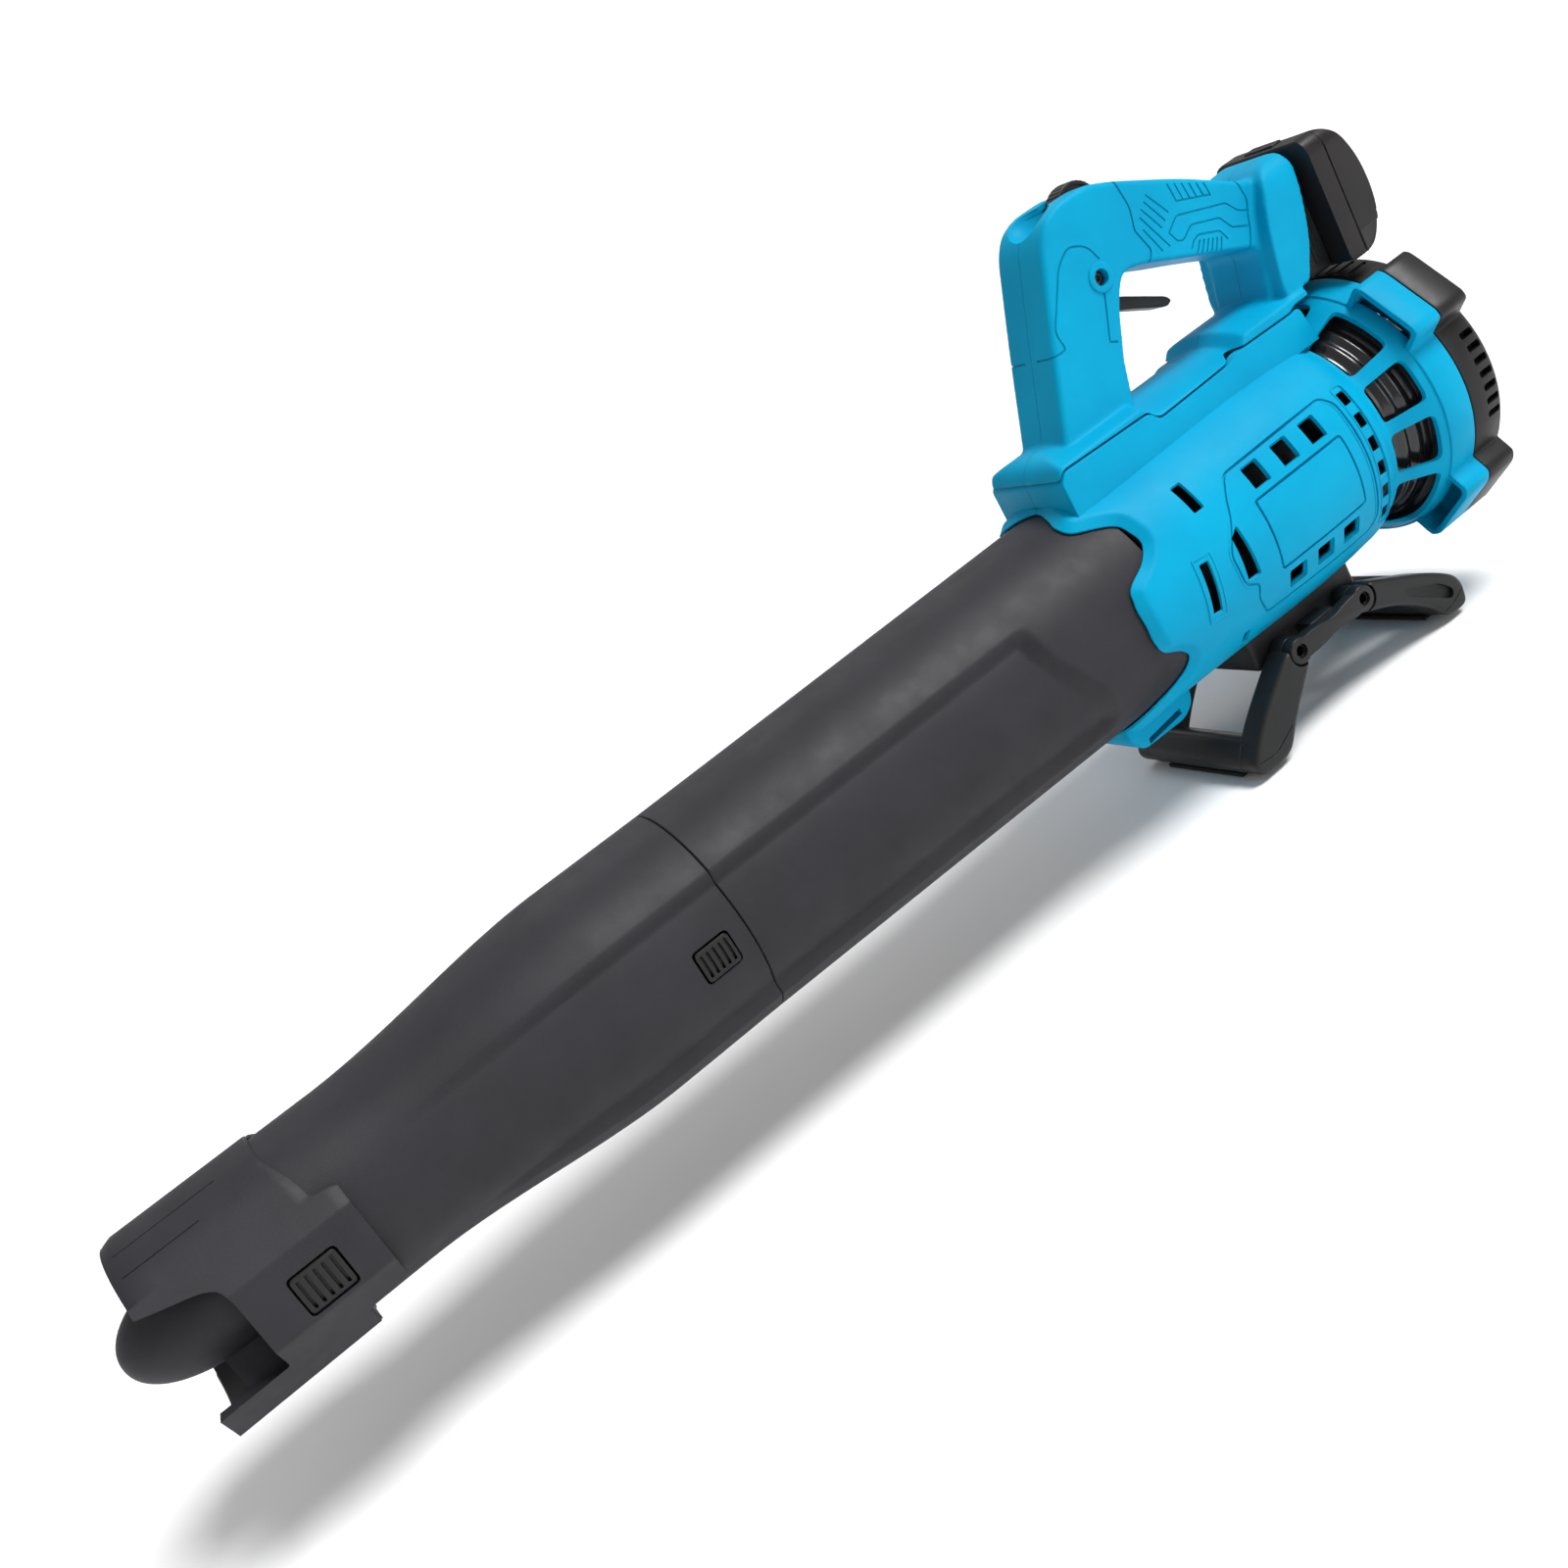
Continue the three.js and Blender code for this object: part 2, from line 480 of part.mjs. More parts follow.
function speedDial() {
  const { x, z, r, half } = DIAL;
  const wheel = crossBar(x, z, r, -half, half, 24);
  const knurls = Array.from({ length: 12 }, (_, i) => {
    const a = ((i + 0.5) / 12) * 2 * Math.PI;
    return crossBar(x + (r + 0.5) * Math.cos(a), z + (r + 0.5) * Math.sin(a), 1, -half - 1, half + 1, 6);
  });
  return cut(wheel, ...knurls, crossBar(x, z, 2.06, -20, 20, 16));
}

// ---------------------------------------------------------------- battery and its rail
const SLOT = { neckY: 10, headY: 14, neckX: 531, headX: 535, low: 92, high: 142 };
const RELEASE = { x0: 530.4, x1: 539.4, half: 12, low: 152, high: 165.2 };

function tee(grow, low, high) {
  const { neckY, headY, neckX, headX } = SLOT;
  const neck = box(BATTERY.front - 1, neckX + 1, -neckY - grow, neckY + grow, low, high);
  return join(neck, box(neckX - grow, headX + grow, -headY - grow, headY + grow, low, high));
}

function batteryRail() {
  const rearX = BATTERY.front - GAP;
  const wedge = plate([[524.4, 150], [521.3, 138, 12], [513.8, 112, 12], [501.5, 90], [rearX, 88],
    [rearX, 150]], -24, 24);
  return join(wedge, tee(0, SLOT.low, SLOT.high));
}

function terminalBlade(side) {
  return box(SLOT.headX + GAP, 539.4, side * 7 - 0.6, side * 7 + 0.6, 108, 134);
}

const packOutline = (inset) => {
  const { half, low, high } = BATTERY;
  const [y, z0, z1] = [half - inset, low + inset, high - inset];
  return [[-y, z0, 9], [y, z0, 9], [y, z1, 14], [-y, z1, 14]];
};

function batteryBase() {
  const body = slab(packOutline(0), BATTERY.front, BATTERY.split, 4);
  const pocket = box(RELEASE.x0 - GAP, RELEASE.x1 + GAP, -RELEASE.half - GAP, RELEASE.half + GAP, 147, 170);
  const bladeSlots = bothSides((side) => box(534, 540, side * 7 - 1.2, side * 7 + 1.2, 80, 135));
  return cut(body, tee(0.4, 80, SLOT.high + 1), pocket, ...bladeSlots);
}

function batteryCover() {
  const { split, rear, wall } = BATTERY;
  const shell = slab(packOutline(0), split + GAP, rear, 4);
  return cut(shell, slab(packOutline(wall), split - 1, rear - wall, 4));
}

// ---------------------------------------------------------------- folding stand
const eyes = (x, grow = 0.14) => crossBar(x, STAND.pivotZ, STAND.pinR + grow, -80, 80, 16);

function standRail() {
  const { pivotZ: z, frontX, rearX, outerY, barY, bossR } = STAND;
  const saddle = box(350, 440, -36, 36, -84, -55);
  const bars = bothSides((side) => {
    const span = spanY(side, barY, outerY);
    const bar = plate([[frontX, z + 6.5], [rearX, z + 6.5], [rearX, z - 6.5], [frontX, z - 6.5]], ...span, 1);
    const webs = box(386, 406, ...spanY(side, 30, barY + 1), -84, -72);
    return join(bar, webs, crossBar(frontX, z, bossR, ...span), crossBar(rearX, z, bossR, ...span));
  });
  return cut(join(saddle, ...bars), disc(300, 500, BARREL.r + GAP, BARREL_ROUND), eyes(frontX), eyes(rearX));
}

// A U-shaped leg: two arms hung inside the rail's bars and one foot bar across.
function leg(pivotX, armCorners, footCorners) {
  const { pivotZ, barY, outerY, bossR } = STAND;
  const [inner, outer] = [37.6, barY - 0.5];
  const arms = bothSides((side) => {
    const flush = plate(armCorners, ...spanY(side, inner, outerY), 1.5, 2);
    const knuckle = crossBar(pivotX, pivotZ, bossR, ...spanY(side, inner, outer));
    const clearBoss = crossBar(pivotX, pivotZ, bossR + 1.2, ...spanY(side, outer, 60), 24);
    return join(cut(flush, clearBoss), knuckle);
  });
  return cut(join(...arms, plate(footCorners, -inner - 4, inner + 4)), eyes(pivotX));
}

const FRONT_LEG = {
  arm: [[372, -87, 4], [362, -72, 4], [318, -103, 10], [305, -118, 4], [310, -127, 4], [333, -127, 8]],
  foot: [[316, -104, 6], [304, -117, 4], [309, -127, 4], [332, -127, 4], [338, -119, 4]],
};
const REAR_LEG = {
  arm: [[421, -88, 4], [430, -71.5, 4], [478, -95, 10], [496, -110, 6], [494, -127, 4], [476, -127, 6],
    [466, -112, 8]],
  foot: [[478, -97, 6], [496, -110, 6], [494, -127, 4], [476, -127, 6], [470, -114, 6]],
};
const PADS = { front: [309, 331], rear: [477, 493], top: -127.3 };

const footPad = ([x0, x1]) => box(x0, x1, -34, 34, GROUND_Z, PADS.top);

function legPin(x, side) {
  const span = spanY(side, 38, STAND.outerY - 0.2);
  const pin = crossBar(x, STAND.pivotZ, STAND.pinR, ...span, 16);
  return cut(pin, crossBar(x, STAND.pivotZ, 2.5, ...spanY(side, 44, 60), 12));
}

// ---------------------------------------------------------------- assembly
add('rear_tube', rearTube(), CHARCOAL);
add('tube_coupler', tubeCoupler(), CHARCOAL);
add('front_tube', frontTube(), CHARCOAL);
add('nozzle', nozzle(), CHARCOAL);
add('nozzle_cone', nozzleCone(), CHARCOAL);
for (const side of [-1, 1]) {
  add(`front_tube_latch_${sideName(side)}`, latchButton(side, SEAM_LATCH), BLACK);
  add(`nozzle_latch_${sideName(side)}`, latchButton(side, NOZZLE_LATCH), BLACK);
}

const barrel = barrelWhole();
for (const side of [-1, 1]) {
  add(`barrel_${sideName(side)}`, barrel.intersect(halfSpace(side)), BLUE);
}
add('fan_duct', fanDuct(), BLACK);
add('motor_mount', motorMount(), BLACK);
add('tail_cone', tailCone(), BLACK);
add('inlet_bellmouth', bellmouth(), GLOSS_BLACK);
add('motor_can', motorCan(), STEEL);
add('motor_stator', ring(366, 418, 14, MOTOR.r - 2 - GAP, SMALL_ROUND), COPPER);
add('motor_rotor', ring(368, 416, MOTOR.shaftR + GAP, 13.4, SMALL_ROUND), STEEL);
add('motor_shaft', disc(353, 470, MOTOR.shaftR, SMALL_ROUND), STEEL);
add('front_bearing', ring(354.3, 359.7, MOTOR.boreR, 7.9, SMALL_ROUND), STEEL);
add('rear_bearing', ring(424.3, 429.7, MOTOR.boreR, 7.9, SMALL_ROUND), STEEL);
add('fan_impeller', impeller(), BLACK);
add('rear_cover', rearCover(), BLACK);

for (const side of [-1, 1]) {
  add(`handle_${sideName(side)}`, handleHalf(side), BLUE);
}
add('trigger', trigger(), BLACK);
add('trigger_pin', crossBar(TRIGGER.x, TRIGGER.z, TRIGGER.pinR, -17.5, 17.5, 16), STEEL);
add('trigger_spring', triggerSpring(), STEEL);
add('trigger_switch', join(box(342, 358, -8, 8, 134, 150), box(357, 364.4, -3, 3, 139, 145)), BLACK);
add('speed_dial', speedDial(), BLACK);
add('dial_axle', crossBar(DIAL.x, DIAL.z, 2, -17.5, 17.5, 16), STEEL);
add('controller_board', box(310, 400, -24, 24, 76, 77.6), BOARD);
add('handle_screw', join(
  crossBar(HANDLE_SCREW.x, HANDLE_SCREW.z, 1.6, -17, 16, 12),
  crossBar(HANDLE_SCREW.x, HANDLE_SCREW.z, 4.2, -20, -16.3, 20)), STEEL);

add('battery_rail', batteryRail(), BLACK);
add('terminal_blade_left', terminalBlade(-1), BRASS);
add('terminal_blade_right', terminalBlade(1), BRASS);
add('battery_base', batteryBase(), BLACK);
add('battery_cover', batteryCover(), BLACK);
add('battery_release',
  box(RELEASE.x0, RELEASE.x1, -RELEASE.half, RELEASE.half, RELEASE.low, RELEASE.high), BLACK);
[98.4, 115.5, 132.6, 149.7].forEach((z, i) => {
  add(`battery_cell_${i + 1}`, crossBar(551.4, z, 8.2, -32.5, 32.5, 20), SLEEVE);
});

add('stand_rail', standRail(), BLACK);
add('front_leg', leg(STAND.frontX, FRONT_LEG.arm, FRONT_LEG.foot), BLACK);
add('rear_leg', leg(STAND.rearX, REAR_LEG.arm, REAR_LEG.foot), BLACK);
for (const side of [-1, 1]) {
  add(`front_leg_pin_${sideName(side)}`, legPin(STAND.frontX, side), STEEL);
  add(`rear_leg_pin_${sideName(side)}`, legPin(STAND.rearX, side), STEEL);
}
add('front_foot_pad', footPad(PADS.front), RUBBER);
add('rear_foot_pad', footPad(PADS.rear), RUBBER);

const MIDDLE_X = (CONE.tip + BATTERY.rear) / 2;
const placed = new THREE.Group();
placed.name = 'blower_on_ground';
blower.position.set(-MIDDLE_X, 0, -GROUND_Z);
placed.add(blower);

export default placed;
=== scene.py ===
"""Leaf blower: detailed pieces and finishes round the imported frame.
Lengths here are millimetres from the joint of the two tubes (X) and from the fan axis (Y, Z);
place() turns them into the frame's metres. Angles are degrees from straight up, round the axis."""
import math

import bpy
import bmesh
import numpy as np
from mathutils import Matrix, Vector


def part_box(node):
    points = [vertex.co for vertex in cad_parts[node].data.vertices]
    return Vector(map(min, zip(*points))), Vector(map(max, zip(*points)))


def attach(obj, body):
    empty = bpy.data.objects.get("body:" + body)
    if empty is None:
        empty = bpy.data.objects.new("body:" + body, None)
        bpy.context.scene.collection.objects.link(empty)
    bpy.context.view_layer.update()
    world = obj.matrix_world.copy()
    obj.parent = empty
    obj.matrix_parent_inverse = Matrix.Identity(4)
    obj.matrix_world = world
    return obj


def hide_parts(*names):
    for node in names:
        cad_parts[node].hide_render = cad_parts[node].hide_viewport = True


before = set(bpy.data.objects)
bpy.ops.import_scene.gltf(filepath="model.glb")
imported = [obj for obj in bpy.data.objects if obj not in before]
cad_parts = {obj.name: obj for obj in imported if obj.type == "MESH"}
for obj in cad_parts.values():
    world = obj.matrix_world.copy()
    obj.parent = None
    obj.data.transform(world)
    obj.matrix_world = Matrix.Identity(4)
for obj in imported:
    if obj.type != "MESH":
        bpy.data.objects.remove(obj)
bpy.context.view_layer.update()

SEAM_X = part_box("front_tube")[1].x + 0.0003
AXIS_Z = sum(corner.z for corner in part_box("motor_shaft")) / 2
MM = 0.001
GAP = 0.3
SPLIT = 0.15
DOUBLE = 1e-6  # metres: points closer than this are one point


# ------------------------------------------------------------------ mesh helpers
def place(points):
    return np.asarray(points, float) * MM + (SEAM_X, 0, AXIS_Z)


def make(name, points, faces):
    mesh = bpy.data.meshes.new(name)
    mesh.from_pydata(place(points).tolist(), [], [list(map(int, f)) for f in faces])
    obj = bpy.data.objects.new(name, mesh)
    bpy.context.collection.objects.link(obj)
    clean(obj)
    return obj


def clean(obj):
    """Drops doubled points and faces of no area, and turns the faces outwards."""
    bm = bmesh.new()
    bm.from_mesh(obj.data)
    bmesh.ops.remove_doubles(bm, verts=bm.verts, dist=DOUBLE)
    bmesh.ops.dissolve_degenerate(bm, edges=bm.edges, dist=DOUBLE)
    bmesh.ops.recalc_face_normals(bm, faces=bm.faces)
    bm.to_mesh(obj.data)
    bm.free()


def modify(obj, kind, **settings):
    """Adds one modifier and applies it."""
    modifier = obj.modifiers.new(kind, kind)
    for key, value in settings.items():
        setattr(modifier, key, value)
    graph = bpy.context.evaluated_depsgraph_get()
    mesh = bpy.data.meshes.new_from_object(obj.evaluated_get(graph))
    obj.modifiers.clear()
    old, obj.data = obj.data, mesh
    bpy.data.meshes.remove(old)
    return obj


def bevelled(obj, width, segments, angle=35):
    return modify(obj, "BEVEL", width=width * MM, segments=segments, limit_method="ANGLE",
                  angle_limit=math.radians(angle), use_clamp_overlap=True)


def remove(*objs):
    for obj in objs:
        bpy.data.objects.remove(obj)


def copy(obj):
    twin = obj.copy()
    twin.data = obj.data.copy()
    bpy.context.collection.objects.link(twin)
    return twin


def boolean(target, tool, operation):
    before = len(target.data.vertices)
    modify(target, "BOOLEAN", object=tool, operation=operation, solver="MANIFOLD")
    if before and not len(target.data.vertices):
        raise RuntimeError(f"{operation} emptied {target.name} with {tool.name}")
    remove(tool)
    return target


def union(first, *others):
    for other in others:
        boolean(first, other, "UNION")
    return first


def subtract(first, *tools):
    for tool in tools:
        boolean(first, tool, "DIFFERENCE")
    return first


def intersect(first, tool):
    return boolean(first, tool, "INTERSECT")


def merged(*objs):
    """Several closed meshes as one object, without joining their volumes."""
    bm = bmesh.new()
    for obj in objs:
        bm.from_mesh(obj.data)
    mesh = bpy.data.meshes.new("merged")
    bm.to_mesh(mesh)
    bm.free()
    first = objs[0]
    remove(*objs[1:])
    old, first.data = first.data, mesh
    bpy.data.meshes.remove(old)
    return first


def ease(x, a, b):
    t = np.clip((x - a) / (b - a), 0, 1)
    return t * t * (3 - 2 * t)


def loop_faces(rows, count, closed_rows=True):
    """Quads between neighbouring rows of points, each row closed on itself."""
    faces = []
    for i in range(rows if closed_rows else rows - 1):
        for j in range(count):
            a, b = i * count + j, i * count + (j + 1) % count
            c, d = ((i + 1) % rows) * count + (j + 1) % count, ((i + 1) % rows) * count + j
            faces.append((a, b, c, d))
    return faces


def turned(name, profile, steps):
    """A closed [x, r] profile, or a function of the folded angle, swept round the fan axis."""
    theta = np.linspace(0, 360, steps, endpoint=False)
    folded = 180 - np.abs(180 - theta)
    if callable(profile):
        x, r = np.broadcast_arrays(*profile(folded[:, None]))
    else:
        profile = np.array(profile, float)
        x, r = np.tile(profile[:, 0], (steps, 1)), np.tile(profile[:, 1], (steps, 1))
    angle = np.radians(theta)[:, None]
    points = np.stack([x, r * np.sin(angle), r * np.cos(angle)], -1).reshape(-1, 3)
    return make(name, points, loop_faces(steps, x.shape[1]))


def rounded(corners, steps=5):
    """An outline of (a, b, radius) corners, with a radius blended by a curve."""
    result = []
    count = len(corners)
    for i, corner in enumerate(corners):
        here = np.array(corner[:2], float)
        radius = corner[2] if len(corner) > 2 else 0
        if not radius:
            result.append(here)
            continue
        ends = []
        for other in (corners[i - 1], corners[(i + 1) % count]):
            way = np.array(other[:2], float) - here
            ends.append(here + way * min(radius / np.linalg.norm(way), 0.499))
        for t in np.linspace(0, 1, steps + 1):
            result.append((1 - t) ** 2 * ends[0] + 2 * t * (1 - t) * here + t * t * ends[1])
    return np.array(result)


def prism(name, outline, low, high, axis="y"):
    """A flat outline given thickness along an axis: XZ outlines along y, YZ outlines along x."""
    outline = np.asarray(outline, float)
    count = len(outline)
    a, b = outline[:, 0], outline[:, 1]
    sheets = []
    for level in (low, high):
        c = np.full(count, float(level))
        sheets.append(np.stack((a, c, b) if axis == "y" else (c, a, b), -1))
    faces = [tuple(range(count)), tuple(range(2 * count - 1, count - 1, -1))]
    faces += [(i, (i + 1) % count, count + (i + 1) % count, count + i) for i in range(count)]
    return make(name, np.concatenate(sheets), faces)


def block(name, x0, x1, y0, y1, z0, z1):
    return prism(name, rectangle(x0, x1, z0, z1), y0, y1)


def bar(name, x, z, radius, y0, y1, steps=32):
    """A round bar across the machine."""
    angle = np.linspace(0, 2 * math.pi, steps, endpoint=False)
    outline = np.stack([x + radius * np.cos(angle), z + radius * np.sin(angle)], -1)
    return prism(name, outline, y0, y1)


def drum(name, x0, x1, radius, steps):
    """A round bar on the fan axis."""
    return turned(name, [(x0, 0), (x0, radius), (x1, radius), (x1, 0)], steps)


def rectangle(a0, a1, b0, b1, radius=0):
    """Corners for rounded() or plan()."""
    return [(a0, b0, radius), (a1, b0, radius), (a1, b1, radius), (a0, b1, radius)]


def outward(side, near, far):
    """The stretch from near to far on one side of the mid plane, lowest first."""
    return sorted((side * near, side * far))


def spun(obj, degrees, axis="X", centre=(0, 0, 0)):
    """Turns a piece in place about an axis through a point."""
    point = Vector(place([centre])[0])
    turn = Matrix.Rotation(math.radians(degrees), 4, axis)
    obj.data.transform(Matrix.Translation(point) @ turn @ Matrix.Translation(-point))
    return obj


def offsets(path, closed):
    """Unit mitre directions to the left of each point of a flat path."""
    path = np.asarray(path, float)
    after = np.roll(path, -1, 0) - path
    before = path - np.roll(path, 1, 0)
    if not closed:
        after[-1], before[0] = before[-1], after[0]
    after /= np.linalg.norm(after, axis=1)[:, None]
    before /= np.linalg.norm(before, axis=1)[:, None]
    normal = np.stack([-(after + before)[:, 1], (after + before)[:, 0]], -1)
    normal /= np.linalg.norm(normal, axis=1)[:, None]
    lean = np.maximum((normal * np.stack([-after[:, 1], after[:, 0]], -1)).sum(1), 0.4)
    return normal / lean[:, None]


def strip(name, path, width, low, high, top_width, lift, closed=False):
    """A rail with a trapezoid section along a flat path; lift(points, level) puts it in space."""
    path = np.asarray(path, float)
    side = offsets(path, closed)
    rows = [lift(path + side * w / 2, level) for w, level in
            ((-width, low), (width, low), (top_width, high), (-top_width, high))]
    points = np.stack(rows, 1).reshape(-1, 3)
    faces = loop_faces(len(path), 4, closed_rows=closed)
    if not closed:
        last = 4 * (len(path) - 1)
        faces += [(3, 2, 1, 0), (last, last + 1, last + 2, last + 3)]
    return make(name, points, faces)


ARC = 66.0  # millimetres of girth per radian in the flat plan of the barrel


def on_barrel(side):
    """Turns plan points (x, angle in degrees times ARC) at a radius into space, on one side."""
    def lift(points, radius):
        angle = points[:, 1] / ARC
        radius = np.broadcast_to(radius, angle.shape)
        return np.stack([points[:, 0], side * radius * np.sin(angle), radius * np.cos(angle)], -1)
    return lift


def plan(corners, finest=2.5, steps=4):
    """Barrel plan outline from (x, degrees, radius) corners, with long edges divided."""
    flat = rounded([(x, math.radians(t) * ARC, *rest) for x, t, *rest in corners], steps)
    return divided(flat, finest, closed=True)


def divided(path, finest, closed=False):
    result = []
    path = np.asarray(path, float)
    for i in range(len(path) if closed else len(path) - 1):
        a, b = path[i], path[(i + 1) % len(path)]
        pieces = max(1, int(np.ceil(np.linalg.norm(b - a) / finest)))
        result += [a + (b - a) * k / pieces for k in range(pieces)]
    if not closed:
        result.append(path[-1])
    return np.array(result)


def plug(name, outline, levels, lift):
    """A closed outline stacked at (grow, level) steps and capped, for cutting an opening."""
    side = offsets(outline, True)
    a, b = outline[:, 0], outline[:, 1]
    area = np.sum(a * np.roll(b, -1) - b * np.roll(a, -1))
    away = -side if area > 0 else side
    rows = [lift(outline + away * grow, level) for grow, level in levels]
    count = len(outline)
    faces = loop_faces(len(levels), count, closed_rows=False)
    last = count * (len(levels) - 1)
    faces += [tuple(range(count)), tuple(range(last + count - 1, last - 1, -1))]
    return make(name, np.concatenate(rows), faces)


def half(side):
    return block("half", -500, 700, *outward(side, SPLIT, 300), -300, 400)


SIDES = {-1: "left", 1: "right"}


# ------------------------------------------------------------------ finishes
class Tree:
    """Short calls for wiring a material."""

    def __init__(self, name):
        self.material = bpy.data.materials.new(name)
        self.material.use_nodes = True
        self.tree = self.material.node_tree
        self.shader = self.tree.nodes["Principled BSDF"]
        self.object = self.node("ShaderNodeTexCoord").outputs["Object"]

    def node(self, kind, inputs=None, **settings):
        made = self.tree.nodes.new(kind)
        for key, value in settings.items():
            setattr(made, key, value)
        for key, value in (inputs or {}).items():
            if isinstance(value, bpy.types.NodeSocket):
                self.tree.links.new(value, made.inputs[key])
            else:
                made.inputs[key].default_value = value
        return made

    def noise(self, scale, detail=3.0, rough=0.55, stretch=None):
        vector = self.object
        if stretch:
            vector = self.node("ShaderNodeMapping", {"Vector": vector, "Scale": stretch}).outputs[0]
        return self.node("ShaderNodeTexNoise", {"Vector": vector, "Scale": scale, "Detail": detail,
                                                "Roughness": rough}).outputs["Fac"]

    def ramp(self, value, low, high, out_low=0.0, out_high=1.0):
        return self.node("ShaderNodeMapRange", {"Value": value, "From Min": low, "From Max": high,
                                                "To Min": out_low, "To Max": out_high}).outputs[0]

    def math(self, operation, a, b=0.0):
        return self.node("ShaderNodeMath", {0: a, 1: b}, operation=operation).outputs[0]

    def mix(self, factor, a, b):
        return self.node("ShaderNodeMix", {0: factor, 6: a, 7: b}, data_type="RGBA").outputs[2]

    def edges(self, radius):
        """0 on open surface, up to 1 on edges, where a highlight is painted, with the rounded
        normal.
        """
        rounded_normal = self.node("ShaderNodeBevel", {"Radius": radius}, samples=4).outputs[0]
        normal = self.node("ShaderNodeNewGeometry").outputs["Normal"]
        dot = self.node("ShaderNodeVectorMath", {0: rounded_normal, 1: normal},
                        operation="DOT_PRODUCT")
        return self.ramp(dot.outputs["Value"], 0.995, 0.8), rounded_normal

    def set(self, **values):
        for key, value in values.items():
            socket = self.shader.inputs[key.replace("_", " ")]
            if isinstance(value, bpy.types.NodeSocket):
                self.tree.links.new(value, socket)
            else:
                socket.default_value = value
        return self.material


def grey(value):
    return (value, value, value, 1)


def moulded(name, colour, shade, highlight_colour, roughness, grain=1900.0, bump=0.25, specular=0.4, highlight_strength=0.5):
    """Injection-moulded plastic: spark-eroded grain, slow colour drift, and a painted highlight:
    patchy paler colour on the edges.
    """
    t = Tree(name)
    colour, shade, highlight_colour = [(*c, 1) for c in (colour, shade, highlight_colour)]
    drift = t.ramp(t.noise(18.0, 4.0), 0.35, 0.68)
    speckle = t.ramp(t.noise(900.0, 2.0), 0.3, 0.75)
    base = t.mix(drift, colour, shade)
    base = t.mix(t.math("MULTIPLY", speckle, 0.12), base, shade)
    # Painted highlight: edges found by the bevel mask get a paler colour, broken up by patchy
    # noise.
    highlight_mask, soft_normal = t.edges(0.0006)
    patchy = t.ramp(t.noise(160.0, 3.0), 0.4, 0.7)
    edge_highlight = t.math("MULTIPLY", t.math("MULTIPLY", highlight_mask, patchy), highlight_strength)
    base = t.mix(edge_highlight, base, highlight_colour)
    rough = t.ramp(t.noise(55.0, 5.0), 0.3, 0.7, roughness - 0.05, roughness + 0.06)
    rough = t.math("SUBTRACT", rough, t.math("MULTIPLY", edge_highlight, 0.12))
    pits = t.node("ShaderNodeTexVoronoi", {"Vector": t.object, "Scale": grain}).outputs["Distance"]
    height = t.math("ADD", t.math("MULTIPLY", pits, 0.7), t.noise(grain * 0.6, 2.0))
    normal = t.node("ShaderNodeBump", {"Height": height, "Strength": bump, "Distance": 0.00012,
                                       "Normal": soft_normal}).outputs[0]
    return t.set(Base_Color=base, Roughness=rough, Normal=normal, Specular_IOR_Level=specular)


def metal(name, colour, dark, roughness, stretch=(1, 1, 1), scale=700.0):
    """Brushed metal, stained in the hollows, with a painted highlight: its edges painted back
    towards the lighter colour.
    """
    t = Tree(name)
    colour, dark = (*colour, 1), (*dark, 1)
    brush = t.noise(scale, 3.0, 0.6, stretch)
    stain = t.ramp(t.noise(90.0, 4.0), 0.4, 0.75)
    base = t.mix(t.math("MULTIPLY", stain, 0.5), colour, dark)
    rough = t.ramp(brush, 0.3, 0.7, roughness - 0.07, roughness + 0.1)
    highlight_mask, soft_normal = t.edges(0.0003)
    # Painted highlight: edges are painted back towards the lighter colour.
    base = t.mix(t.math("MULTIPLY", highlight_mask, 0.4), base, colour)
    normal = t.node("ShaderNodeBump", {"Height": brush, "Strength": 0.15, "Distance": 0.00005,
                                       "Normal": soft_normal}).outputs[0]
    return t.set(Base_Color=base, Roughness=rough, Normal=normal, Metallic=1.0)


# Each moulding: colour, a darker drift tone, the paler colour of its painted edge highlight,
# roughness.
BLUE = moulded("blue moulding", (0.0, 0.335, 0.56), (0.0, 0.29, 0.50), (0.004, 0.43, 0.70), 0.48,
               bump=0.12, specular=0.08)
CHARCOAL = moulded("charcoal moulding", (0.022, 0.0205, 0.0255), (0.0165, 0.0155, 0.019),
                   (0.07, 0.067, 0.078), 0.54, bump=0.3, specular=0.27)
BLACK = moulded("black moulding", (0.011, 0.0105, 0.011), (0.008, 0.0075, 0.008),
                (0.05, 0.048, 0.05), 0.42, bump=0.22, specular=0.3)
STAND_BLACK = moulded("stand moulding", (0.013, 0.0125, 0.0125), (0.009, 0.0087, 0.0087),
                      (0.055, 0.053, 0.053), 0.42, bump=0.2, specular=0.32)
PACK_BLACK = moulded("battery moulding", (0.013, 0.0105, 0.0112), (0.0095, 0.008, 0.0084),
                     (0.055, 0.049, 0.05), 0.38, bump=0.25, specular=0.3)
GLOSS = moulded("polished black", (0.012, 0.011, 0.012), (0.010, 0.0095, 0.010),
                (0.04, 0.038, 0.04), 0.17, bump=0.02, specular=0.6, highlight_strength=0.2)
RUBBER = moulded("foot rubber", (0.016, 0.016, 0.016), (0.024, 0.024, 0.023), (0.05, 0.05, 0.048),
                 0.78, grain=1200.0, bump=0.5, specular=0.25)
BOARD = moulded("circuit board", (0.012, 0.09, 0.035), (0.008, 0.06, 0.025), (0.2, 0.22, 0.1), 0.35,
                grain=600.0, bump=0.4)
SLEEVE = moulded("cell sleeve", (0.02, 0.10, 0.34), (0.016, 0.08, 0.28), (0.1, 0.2, 0.45), 0.3,
                 bump=0.05, highlight_strength=0.2)
STEEL = metal("machined steel", (0.56, 0.56, 0.57), (0.33, 0.32, 0.31), 0.3, (1, 12, 12))
